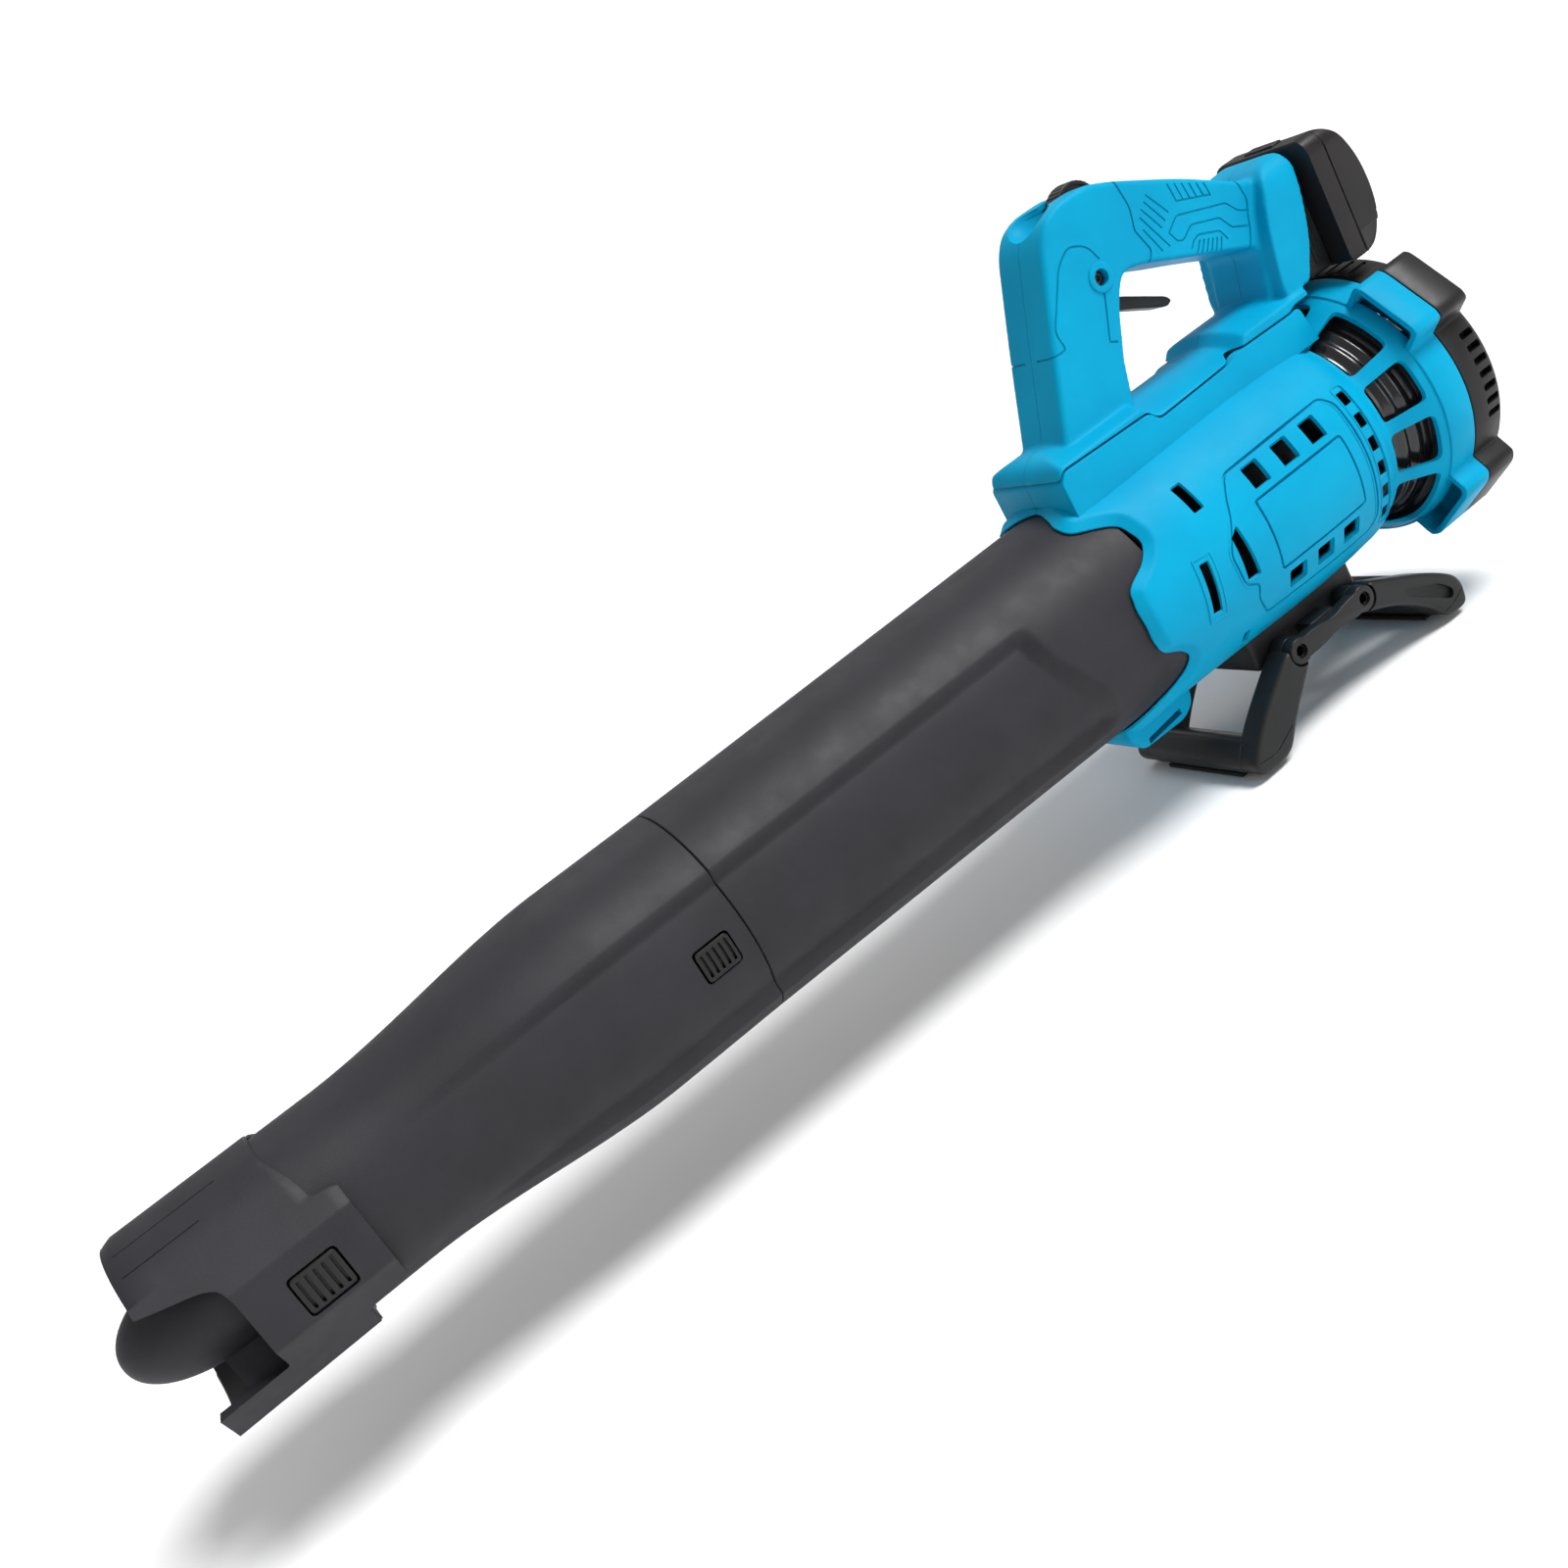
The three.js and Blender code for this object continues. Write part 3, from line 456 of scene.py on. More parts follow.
SCREW = metal("blackened screw", (0.09, 0.08, 0.078), (0.04, 0.035, 0.033), 0.36)
BRASS = metal("terminal brass", (0.72, 0.5, 0.2), (0.45, 0.28, 0.1), 0.28)
COPPER = metal("copper winding", (0.78, 0.36, 0.17), (0.4, 0.15, 0.06), 0.34, (40, 1, 1), 260.0)

LOOKS = {
    "blue_plastic": BLUE, "charcoal_plastic": CHARCOAL, "black_plastic": BLACK,
    "stand_plastic": STAND_BLACK, "battery_plastic": PACK_BLACK, "gloss_black_plastic": GLOSS,
    "foot_rubber": RUBBER, "cell_sleeve": SLEEVE, "screw_steel": SCREW, "shaft_steel": SCREW,
}


def finish(obj, body, slot, *nodes, angle=38):
    """Smooth, paint, ride and name one piece, hiding the CAD parts it stands for."""
    obj.data.materials.clear()
    obj.data.materials.append(LOOKS[slot])
    obj.data.shade_smooth()
    obj.data.set_sharp_from_angle(angle=math.radians(angle))
    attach(obj, body)
    obj.name = nodes[0] + "_detail"
    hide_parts(*nodes)


# ------------------------------------------------------------------ air tubes
SEAM_R, REAR_R, REAR_END, WALL = 62.5, 65.6, 300, 2.4
PANEL_DEPTH = 5.5
SPOUT_R, SPOUT_END = 50.3, -282


def rear_radius(x):
    return SEAM_R + (REAR_R - SEAM_R) * x / REAR_END


def front_radius(x):
    return SPOUT_R + (SEAM_R - SPOUT_R) * ease(x, -214, -66)


def ramp(x, a, b):
    """A straight bevel with softened ends."""
    t = np.clip((x - a) / (b - a), 0, 1)
    return 0.7 * t + 0.3 * t * t * (3 - 2 * t)


def panel(x, theta):
    """Depth of the side panels pressed into both tubes."""
    around = ramp(theta, 54.5, 60) * (1 - ramp(theta, 128, 133.5))
    rear_edge = 218 + 28 * ease(theta, 60, 128)
    return PANEL_DEPTH * around * (1 - ramp(x, rear_edge - 10.5, rear_edge)) * ease(x, -196, -96)


def tube_profile(stations, radius, lead=()):
    """Outer stations, then a coarser inner wall; lead adds the points of a spigot at the start."""
    outer = np.array(stations, float)
    inner = outer[::-5]
    def profile(theta):
        r_out = radius(outer) - panel(outer, theta)
        r_out[:, 0] -= 0.7
        r_in = radius(inner) - WALL - panel(inner, theta)
        xs, rs = [outer, inner], [r_out, r_in]
        if len(lead):
            drop = radius(0.0) - panel(np.array([0.0]), theta)
            xs = [np.array([p[0] for p in lead])] + xs
            rs = [drop + np.array([p[1] for p in lead])] + rs
        x = np.concatenate(xs)
        return x[None, :], np.concatenate(rs, 1)
    return profile


def latch_window(x, z, half_x, half_z, side, near=30, far=80):
    corners = rectangle(x - half_x, x + half_x, z - half_z, z + half_z, 3)
    return prism("window", rounded(corners), *outward(side, near, far))


SEAM_LATCH = (-21, 0)
NOZZLE_LATCH = (-255, -4)
SEAM_LATCH_HALF = (11.2, 9.7)
NOZZLE_LATCH_HALF = (13.2, 11.6)
SLOT_DEPTH = 2.3

stations = [0, 0.7, 2, *range(8, 196, 8), *np.arange(198, 250, 1.5), 254, 260, 268, 280, REAR_END]
neck = [(0, -5.0), (-40, -5.0), (-40, -3.6), (-39.4, -3.0), (-0.2, -3.0)]
rear_tube = turned("rear_tube_body", tube_profile(stations, rear_radius, neck), 288)
for side in SIDES:
    subtract(rear_tube, latch_window(*SEAM_LATCH, 14, 12.5, side, 40, 60.5))
finish(rear_tube, "housing", "charcoal_plastic", "rear_tube", "tube_coupler", angle=40)

stations = [SPOUT_END, SPOUT_END + 1, *np.arange(-276, -210, 8.0), *np.arange(-208, -60, 4.0),
            *np.arange(-56, -4, 8.0), -1.2, -0.7, -GAP]


def front_profile(theta):
    x, r = tube_profile(stations, front_radius)(theta)
    r = r.copy()
    r[:, len(stations) - 1] -= 0.7
    return x, r


front_tube = turned("front_tube_body", front_profile, 288)
for side in SIDES:
    subtract(front_tube, latch_window(*SEAM_LATCH, *SEAM_LATCH_HALF, side),
             latch_window(*NOZZLE_LATCH, 15, 13.5, side))
finish(front_tube, "front_air_tube", "charcoal_plastic", "front_tube", angle=40)


def latch_button(latch, half_size, side, face_r, base, body, node):
    """A ribbed push button whose face follows the tube."""
    x, z = latch
    hx, hz = half_size[0] - 1.1, half_size[1] - 1.1
    corners = rectangle(x - hx, x + hx, z - hz, z + hz, 2.4)
    button = prism("button", rounded(corners), *outward(side, base, 72))
    intersect(button, drum("face", x - 20, x + 20, face_r, 360))
    bevelled(button, 0.7, 3, 50)
    floor = drum("floor", x - 20, x + 20, face_r - SLOT_DEPTH, 180)
    for i in range(-2, 3):
        cx = x + i * hx * 0.37
        corners = rectangle(cx - 0.85, cx + 0.85, z - hz + 2, z + hz - 2, 0.7)
        slot = prism("slot", rounded(corners, 4), *outward(side, 40, 75))
        subtract(slot, copy(floor))
        subtract(button, slot)
    remove(floor)
    finish(button, body, "black_plastic", node, angle=32)


for side, word in SIDES.items():
    latch_button(SEAM_LATCH, SEAM_LATCH_HALF, side, 57.8, 54.9,
                 f"front_tube_button_{word}", f"front_tube_latch_{word}")
    latch_button(NOZZLE_LATCH, NOZZLE_LATCH_HALF, side, 57.2, 53.4,
                 f"nozzle_button_{word}", f"nozzle_latch_{word}")


# ------------------------------------------------------------------ nozzle
def soft_min(values, power):
    least = np.minimum.reduce(values)
    return least * np.sum([(v / least) ** -power for v in values], 0) ** (-1.0 / power)


def soft_max(a, b, power):
    return (a ** power + b ** power) ** (1.0 / power)


def plane_radius(theta, direction, distance):
    """How far out a flat face lies in each direction round the axis."""
    lean = np.cos(np.radians(theta - direction))
    return np.where(lean > 0.05, distance / np.maximum(lean, 0.05), 1e4)


def hump_radius(theta):
    faces = [plane_radius(theta, 90, 56), plane_radius(theta, 46, 52.9),
             plane_radius(theta, 128, 54.6)]
    return soft_min(faces, 220)


NOZZLE_R = 52.8


def nozzle_profile(theta):
    hump = np.where((theta > 46) & (theta < 150), hump_radius(theta), 0)
    outer = np.maximum(hump, NOZZLE_R)
    side = ease(theta, 57, 61) * (1 - ease(theta, 128, 132))
    rear = -247 + 13 * side + 9 * ease(theta, 15, 58) * (1 - ease(theta, 128, 132))
    front_xs = np.array([-327, -326.4, -325, -321, -310, -300, -290, -280, -270, -260, -250.0])
    fractions = np.array([0.0, 0.35, 0.7, 0.93, 1.0])
    rear_xs = -249 + (rear + 249) * fractions
    x_out = np.concatenate([np.broadcast_to(front_xs, (len(theta), len(front_xs))), rear_xs], 1)
    tip_drop = 2.1 * (1 - ease(x_out, -327, -322)) * (outer < NOZZLE_R + 0.1)
    r_out = outer - tip_drop - np.where(x_out > rear - 1.2, 0.8, 0)
    inner_x = np.concatenate([rear, rear - 2.6, rear - 2.7]
                             + [np.full_like(rear, x) for x in (-283.6, -284, -300, -326)], 1)
    pocket = np.maximum(outer - 2.3, 50.8)
    bore = [np.full_like(rear, r) for r in (50.8, 50.8, 49.5, 49.2, 48.4)]
    inner_r = np.concatenate([*bore[:2], pocket, pocket, *bore[2:]], 1)
    return np.concatenate([x_out, inner_x], 1), np.concatenate([r_out, inner_r], 1)


nozzle = turned("nozzle_body", nozzle_profile, 360)
mouth = rounded([(-333, 33), (-296, 25, 7), (-289.5, 20, 8), (-289.5, -31.5, 2), (-333, -31.5)], 8)
subtract(nozzle, prism("mouth", mouth, -80, 80))
for side in SIDES:
    subtract(nozzle, latch_window(*NOZZLE_LATCH, *NOZZLE_LATCH_HALF, side))
    lift = on_barrel(side)
    for degrees, back in ((14, -268), (31, -282)):
        girth = math.radians(degrees) * ARC
        path = [(-327.5, girth), (-300, girth), (back, girth)]
        subtract(nozzle, strip("groove", divided(path, 6), 1.2, 52.2, 54, 1.6, lift))
finish(nozzle, "nozzle_end", "charcoal_plastic", "nozzle")

cone_length, cone_back = 53.7, -297.0
bullet = [(cone_back - cone_length * math.sin(a), 28 * math.cos(a) ** 0.92)
          for a in np.linspace(math.pi / 2, 0, 26)]
bullet[0] = (bullet[0][0], 0)
bullet += [(-290, 27.9), (-280, 27.2), (-270, 25.3), (-260, 21.6), (-250, 15.5), (-243, 9),
           (-238, 0)]
cone = turned("nozzle_bullet", bullet, 96)
for theta in (-35, 35, -145, 145):
    vane = prism("vane", rounded([(-314, 20), (-311, 48.2, 2), (-287, 49.2, 1), (-285, 20)], 4),
                 -1.1, 1.1)
    union(cone, spun(vane, -theta))
finish(cone, "nozzle_end", "charcoal_plastic", "nozzle_cone", angle=40)


# ------------------------------------------------------------------ barrel housing
BARREL_R = 71.2
RIM = [(0, 286), (14, 281), (24, 277), (33, 281), (38, 291), (43, 299), (50, 302), (60, 301),
       (66, 293), (71, 280), (78, 275.5), (90, 275), (101, 276), (108, 280), (114, 291),
       (121, 297.5), (129, 296), (136, 289), (145, 275), (153, 264), (160, 260), (180, 259)]


def smooth_through(points, x):
    """A smooth curve through (x, y) points, flat at its ends."""
    xs, ys = np.array(points, float).T
    slope = np.gradient(ys, xs)
    slope[0] = slope[-1] = 0
    i = np.clip(np.searchsorted(xs, x, side="right") - 1, 0, len(xs) - 2)
    h = xs[i + 1] - xs[i]
    t = (x - xs[i]) / h
    return ((2 * t ** 3 - 3 * t ** 2 + 1) * ys[i] + (t ** 3 - 2 * t ** 2 + t) * h * slope[i]
            + (3 * t ** 2 - 2 * t ** 3) * ys[i + 1] + (t ** 3 - t ** 2) * h * slope[i + 1])


def rim_distance(x, theta):
    """Distance over the surface from each point to the wavy front rim."""
    fine = np.linspace(0, 180, 400)
    rim = np.stack([smooth_through(RIM, fine), np.radians(fine) * ARC], -1)
    flat = np.stack([x, np.broadcast_to(np.radians(theta) * ARC, x.shape)], -1)
    best = np.full(x.shape, 1e9)
    for point in rim:
        best = np.minimum(best, np.hypot(flat[..., 0] - point[0], flat[..., 1] - point[1]))
    return best


def barrel_profile(theta):
    rim = smooth_through(RIM, theta)
    from_rim = np.array([0, 0.35, 0.9, 1.6, 2.6, 3.8, 5.0, 6.2, 7.4, 8.8, 10.5, 12.5, 15, 18, 22,
                         27, 34, 42.0])
    fixed = np.array([348, 354, 366, 380, 394, 408, 422, 436, 448, 456, 460, 463, 466, 468.5, 470.5,
                      472.5, 474.2, 475.6, 477, 479, 482, 486, 490, 494, 498, 502, 506, 509.0, 512,
                      513])
    x_out = np.concatenate([rim + from_rim, np.broadcast_to(fixed, (len(theta), len(fixed)))], 1)
    distance = rim_distance(x_out[:, :len(from_rim)], theta)
    profile = [(300, BARREL_R), (459, BARREL_R), (466, 70.6), (470.5, 69.1), (474.2, 67.0),
               (477, 66.2), (482, 67.2), (490, 71.2), (498, 75.6), (506, 79.6), (513, 81.4)]
    r_out = smooth_through(profile, x_out)
    chamfer = np.interp(distance, [0, 0.5, 5.2, 6.6, 9], [4.4, 3.9, 0.5, 0.05, 0])
    r_out[:, :len(from_rim)] -= chamfer
    inner = [(513, 78), (502, 75), (490, 69.4), (482, 64.8), (478.5, 63.4), (468, 67.6),
             (308, 68.2)]
    x_in = np.concatenate([np.full_like(rim, x) for x, r in inner] + [rim], 1)
    r_in = np.broadcast_to([r for x, r in inner] + [66.2], x_in.shape)
    return np.concatenate([x_out, x_in], 1), np.concatenate([r_out, r_in], 1)


GUARD_R, GUARD_WALL = 81.6, 3.4
LOBES = [(48.5, 23.5), (143.0, 25.0)]
LOBE_R = 93.6


def guard_radius(theta, inset=0.0):
    """The guard's outline: a ring with a flat-topped lobe at each corner."""
    outer = np.full_like(theta, GUARD_R - inset, dtype=float)
    for centre, half_width in LOBES:
        lean = theta - centre
        faces = [plane_radius(lean, 0, LOBE_R - inset), plane_radius(lean, 90, half_width - inset),
                 plane_radius(lean, -90, half_width - inset), plane_radius(lean, 36, 87.6 - inset),
                 plane_radius(lean, -36, 87.6 - inset)]
        outer = soft_max(outer, soft_min(faces, 110), 130)
    return outer


def guard_shell(name, x0, x1, edge):
    def profile(theta):
        r = guard_radius(theta)
        inner = guard_radius(theta, GUARD_WALL)
        xs = [x0, x0 + edge * 0.3, x0 + edge, x1 - edge, x1 - edge * 0.3, x1, x1, x0]
        radii = [r - edge, r - edge * 0.3, r, r, r - edge * 0.3, r - edge, inner, inner]
        return np.tile(np.array(xs, float), (len(theta), 1)), np.concatenate(radii, 1)
    return turned(name, profile, 480)


def guard_wall():
    """Rear wall of the guard's scoops: everything outside the ring of the inlet."""
    def profile(theta):
        outer = guard_radius(theta, GUARD_WALL / 2)
        xs = np.tile(np.array([525.8, 525.8, 528.9, 528.9]), (len(theta), 1))
        inner = np.full_like(outer, 69.0)
        return xs, np.concatenate([inner, outer, outer, inner], 1)
    return turned("guard_wall", profile, 480)


# Angles of the openings between struts, on each side.
SIDE_SPANS = [(28, 57), (65, 86), (93, 115), (122, 160)]


def front_gate(side, theta0, theta1, back=503, top=81):
    """Cutter for the opening between two struts."""
    outline = plan(rectangle(478, back, theta0, theta1, 4))
    return plug("gate", outline, [(0, 50), (0, top)], on_barrel(side))


def sized(x, theta, long, wide, slant):
    """Corners of a vent: long along X and wide round the barrel, slanted by degrees."""
    turn = math.radians(slant)
    corners = []
    for a, b in ((-1, -1), (1, -1), (1, 1), (-1, 1)):
        u, v = a * long / 2, b * wide / 2
        girth = u * math.sin(turn) + v * math.cos(turn)
        corners.append((x + u * math.cos(turn) - v * math.sin(turn),
                        theta + math.degrees(girth / BARREL_R), 0.8))
    return corners


SQUARE_VENTS = [(382, 65.5, 11.5, 13.5, 0), (406, 65.5, 11.5, 13.5, 0),
                (429.5, 65.5, 11.5, 13.5, 0)]
LOW_VENTS = [(382.5, 119, 13, 11, 0), (406, 119, 13, 11, 0), (428.5, 119, 13, 11, 0)]
TICK_VENTS = [(461, 63 + 12.7 * i, 5.5, 8.6, 0) for i in range(6)]
SLANT_VENT = (340, 55, 6.5, 19, 0)
TALL_VENT = (321, 94.5, 6, 30, 6)
SMALL_VENT = (342, 137, 4.5, 12, 0)
WEDGE_VENT = [(346, 82, 0.8), (352, 78.5, 0.8), (354.5, 103.5, 0.8), (345.5, 103.5, 0.8)]
HEX_PANEL = [(366, 57, 4), (447, 56, 3), (452.5, 62, 3), (452.5, 124, 3), (446, 130, 3),
             (357, 128, 3), (350, 116, 4), (352, 108, 4), (342, 104, 4), (340, 88, 4), (352, 74, 4),
             (357, 66, 4)]
INNER_PANEL = rectangle(371, 442, 75, 110, 2)


def vent_plug(corners, side):
    outline = plan(corners, 3, 3)
    levels = [(2.5, 60), (2.5, 70.1), (0, 70.2), (0, 70.7), (0.4, 71.3), (0.8, 76)]
    return plug("vent", outline, levels, on_barrel(side))


def barrel():
    whole = turned("barrel", barrel_profile, 360)
    for side in SIDES:
        subtract(whole, *[front_gate(side, *span) for span in SIDE_SPANS])
    subtract(whole, front_gate(1, -17, 17), front_gate(1, 169, 191, 501, 78))
    union(whole, guard_shell("guard", 507.5, 529, 1.2), guard_wall())
    for side in SIDES:
        lift = on_barrel(side)

        def rail(corners, width, low, high, top_width):
            return strip("line", plan(corners, 3), width, BARREL_R + low, BARREL_R + high,
                         top_width, lift, closed=True)
        union(whole, rail(HEX_PANEL, 4.4, -1.2, 0.9, 3.6),
              rail(sized(*TALL_VENT[:2], 13, 38, 6), 1.8, -1.2, 0.7, 1.0),
              rail(rectangle(457, 465, 56, 133, 3), 1.7, -1.2, 0.5, 0.9))
        subtract(whole, rail(INNER_PANEL, 1.0, -0.45, 2, 1.6), rail(HEX_PANEL, 1.1, -0.15, 2, 1.7))
        for vent in SQUARE_VENTS + LOW_VENTS + TICK_VENTS + [SLANT_VENT, TALL_VENT, SMALL_VENT]:
            subtract(whole, vent_plug(sized(*vent), side))
        subtract(whole, vent_plug(WEDGE_VENT, side))
    return whole


LEDGE_HALF = 35.4
LEDGE_TOP = [(288.0, 60), (288.0, 81.6, 1.5), (292.6, 87.4, 3), (358.3, 85.3, 3), (364.3, 78.6, 3),
             (421, 80.0, 3), (427.8, 83.2, 2), (475, 82.2, 2), (482, 83.0, 3), (487, 60)]


def ledge():
    """Flat-sided shelf on top of the barrel, under the handle's base."""
    shelf = bevelled(prism("ledge", rounded(LEDGE_TOP, 5), -LEDGE_HALF, LEDGE_HALF), 0.6, 2)
    subtract(shelf, block("bay", 303, 484, -29.5, 29.5, 50, 100),
             drum("core", 250, 600, 69.6, 120))
    return shelf


def skid():
    """Slotted block under the front rim."""
    outline = rounded([(259, 62), (259, 70, 2), (266, 80.5, 4), (300, 81.5, 5), (309, 76, 5),
                       (312, 62)], 5)
    outline[:, 1] *= -1
    piece = bevelled(prism("skid", outline, -24, 24), 3.0, 3)
    subtract(piece, drum("core", 200, 600, 67.0, 120))
    subtract(piece, prism("slot", rounded([(271, -75.5), (298, -73), (298, -76.5), (270, -79)]),
                          -60, 60))
    return piece


whole = barrel()
union(whole, ledge(), skid())
for side, word in SIDES.items():
    shell = intersect(copy(whole), half(side))
    finish(shell, "housing", "blue_plastic", f"barrel_{word}")
remove(whole)

bell = [(484.4, 57.3), (489, 57.6), (495, 59.6), (500, 63), (504, 66), (506.2, 67.0), (507, 66.2),
        (508.4, 67.0), (508.4, 74.6), (507.6, 75.2), (506.6, 74.6), (506.6, 68.4), (504.6, 68.2),
        (502.6, 66.6), (500.6, 66.2), (498.6, 67.0), (496.6, 66.4), (495.2, 64.4), (493.4, 63.4),
        (491.4, 64.2), (489.4, 63.8), (488, 61.8), (486, 60.6), (484.4, 60.4)]
finish(turned("inlet_bell", bell, 180), "housing", "gloss_black_plastic", "inlet_bellmouth",
       angle=60)


# ------------------------------------------------------------------ fan
# Radius, pitch in degrees, chord, and lead in degrees, from the hub out.
BLADE_RINGS = [(22.5, 38, 27, 0), (32, 44, 26, 4), (42, 50, 25, 10), (50, 54, 24, 17),
               (56.2, 57, 22, 25)]


def fan():
    hub = turned("fan_wheel", [(440, 2.6), (440, 23.2), (440.8, 24), (465.2, 24), (468, 23),
                               (472, 20.6), (476, 17.4), (480, 12.8), (482.8, 7.4), (483.8, 3),
                               (484, 0), (472, 0), (472, 2.6)], 120)
    rows = []
    for r, pitch, chord, lead in BLADE_RINGS:
        for t in np.linspace(0, 1, 13)[:-1]:
            turn = 2 * math.pi * t
            u = math.cos(turn) * chord / 2
            thick = math.sin(turn) * (1.5 - 0.5 * (r - 22) / 34) * (1 - 0.35 * math.cos(turn))
            camber = 2.6 * (1 - (2 * u / chord) ** 2)
            a = math.radians(pitch)
            x = 453.5 + u * math.cos(a) - (thick + camber) * math.sin(a)
            y = u * math.sin(a) + (thick + camber) * math.cos(a)
            angle = y / r + math.radians(lead)
            rows.append((x, r * math.sin(angle), r * math.cos(angle)))
    faces = loop_faces(5, 12, closed_rows=False) + [tuple(range(12)), tuple(range(59, 47, -1))]
    for i in range(9):
        blade = make("blade", rows, faces)
        union(hub, spun(blade, 40 * i))
    return hub


finish(fan(), "fan", "black_plastic", "fan_impeller", angle=40)


# ------------------------------------------------------------------ rear cover
def rear_cover():
    shell = guard_shell("cover", 529.3, 552.6, 1.4)
    dome = turned("dome", [(544, 78.6), (550, 81.2), (553.4, 80.8), (555.8, 79), (557.4, 76),
                           (558, 72.5), (558, 66.8), (555, 66.8), (551, 74.5), (544, 77.5)], 180)

    def cap_profile(theta):
        r = guard_radius(theta)
        xs = np.array([549.5, 551.4, 552.3, 552.6, 552.6, 549.5])
        one = np.ones_like(r)
        radii = [r - 0.4, r - 0.4, r - 0.9, r - 1.8, 77 * one, 77 * one]
        return np.tile(xs, (len(theta), 1)), np.concatenate(radii, 1)
    union(shell, turned("cap", cap_profile, 480), dome)
    hoops = []
    for radius, half_width in ((15, 1.6), (27, 1.3), (39, 1.3), (51, 1.3), (61, 1.3)):
        loop = rectangle(552.6, 557.2, radius - half_width, radius + half_width, 0.8)
        hoops.append(turned("hoop", rounded(loop, 2), 120))
    grille = union(*hoops)
    for i in range(16):
        spoke = bevelled(block("spoke", 552.9, 556.4, -1.3, 1.3, 13 if i % 2 else 38, 69.5), 0.7, 2)
        union(grille, spun(spoke, 22.5 * i))
    boss = [(552, 0), (552, 14), (556.6, 14), (557.8, 12.6), (558, 10), (557.4, 0)]
    union(grille, turned("boss", boss, 96))
    union(shell, grille)
    for side in SIDES:
        for theta in (73.5, 79.5, 85.5, 91.5, 97.5, 103.5, 109.5):
            outline = plan(rectangle(541.5, 552.5, theta - 1.5, theta + 1.5, 1.6), 4)
            subtract(shell, plug("slot", outline, [(0, 74), (0, 84)], on_barrel(side)))
    for theta in (-18, -12, -6, 0, 6, 12, 18):
        outline = plan(rectangle(533.5, 549.5, theta - 1.1, theta + 1.1, 1), 4)
        subtract(shell, plug("slot", outline, [(0, 80.2), (0, 84)], on_barrel(1)))
    return shell


finish(rear_cover(), "housing", "black_plastic", "rear_cover")


# ------------------------------------------------------------------ handle
HALF = 22.6
BASE_HALF = 35.0
SCREW_AT, TRIGGER_PIN, DIAL_AXLE = (377, 161), (370, 142), (396, 196)


def side_strip(path, width, side, near, far):
    """A rail standing sideways on the mid plane, for lines on the handle's or legs' flanks."""
    def lift(points, level):
        return np.stack([points[:, 0], np.full(len(points), side * level), points[:, 1]], -1)
    return strip("line", path, width, near, far, width, lift)


def engrave(body, depth, lines):
    """Cuts lines to an even depth below a curved surface."""
    core = modify(copy(body), "DISPLACE", strength=-depth * MM, mid_level=0.0,
                  direction="NORMAL")
    subtract(body, subtract(union(*lines), core))


LOOP = [(309, 76), (309, 94), (330.2, 146, 20), (351.3, 194.5, 7), (359.5, 203.8, 5), (371, 208, 6),
        (394, 208, 6), (411, 201.8, 8), (455, 181.2, 12), (493, 159.6, 8), (505, 157, 4),
        (500, 130), (496, 90), (492, 76)]
HAND_GAP = [(356, 72), (368.5, 115), (380.8, 142, 8), (391.5, 156.8, 7), (408.3, 153.2, 8),
            (435.7, 142, 8), (462.7, 131.8, 8), (485, 122.6, 7), (478, 101), (472, 72)]
PLATE = [(479, 92, 4), (484, 118, 10), (490, 140, 10), (500, 159.5, 8), (514, 164.2, 8),
         (524, 163.4, 5), (520.5, 140, 12), (513.2, 113, 12), (500, 90, 3)]
CAVITY = [(317, 78), (337.5, 145), (358.5, 193, 5), (365, 201, 5), (373, 204.8), (392, 204.8, 4),
          (409, 199), (453.5, 177), (490, 157), (514, 155, 4), (510, 136), (503.5, 113), (496, 94),
          (484, 94), (488, 118), (486, 127), (463, 136.5), (437, 146.5), (410, 157.5), (398, 161),
          (387, 160), (377, 143), (364.5, 115), (353, 90), (353, 78)]
# Side view of the joint between the handle's base and the barrel's ledge.
SEAM = [(284, 82.2), (287.5, 82.2, 1), (292, 88.4, 3), (358, 86.3, 3), (364, 79.6, 3), (421, 81, 3),
        (427.6, 84.2, 2), (475, 83.2, 2), (480, 85.4, 2), (520, 85.6)]


def side_prism(corners, half_width, round_over, segments=6):
    outline = rounded(corners)
    return bevelled(prism("part", outline, -half_width, half_width), round_over, segments, 50)


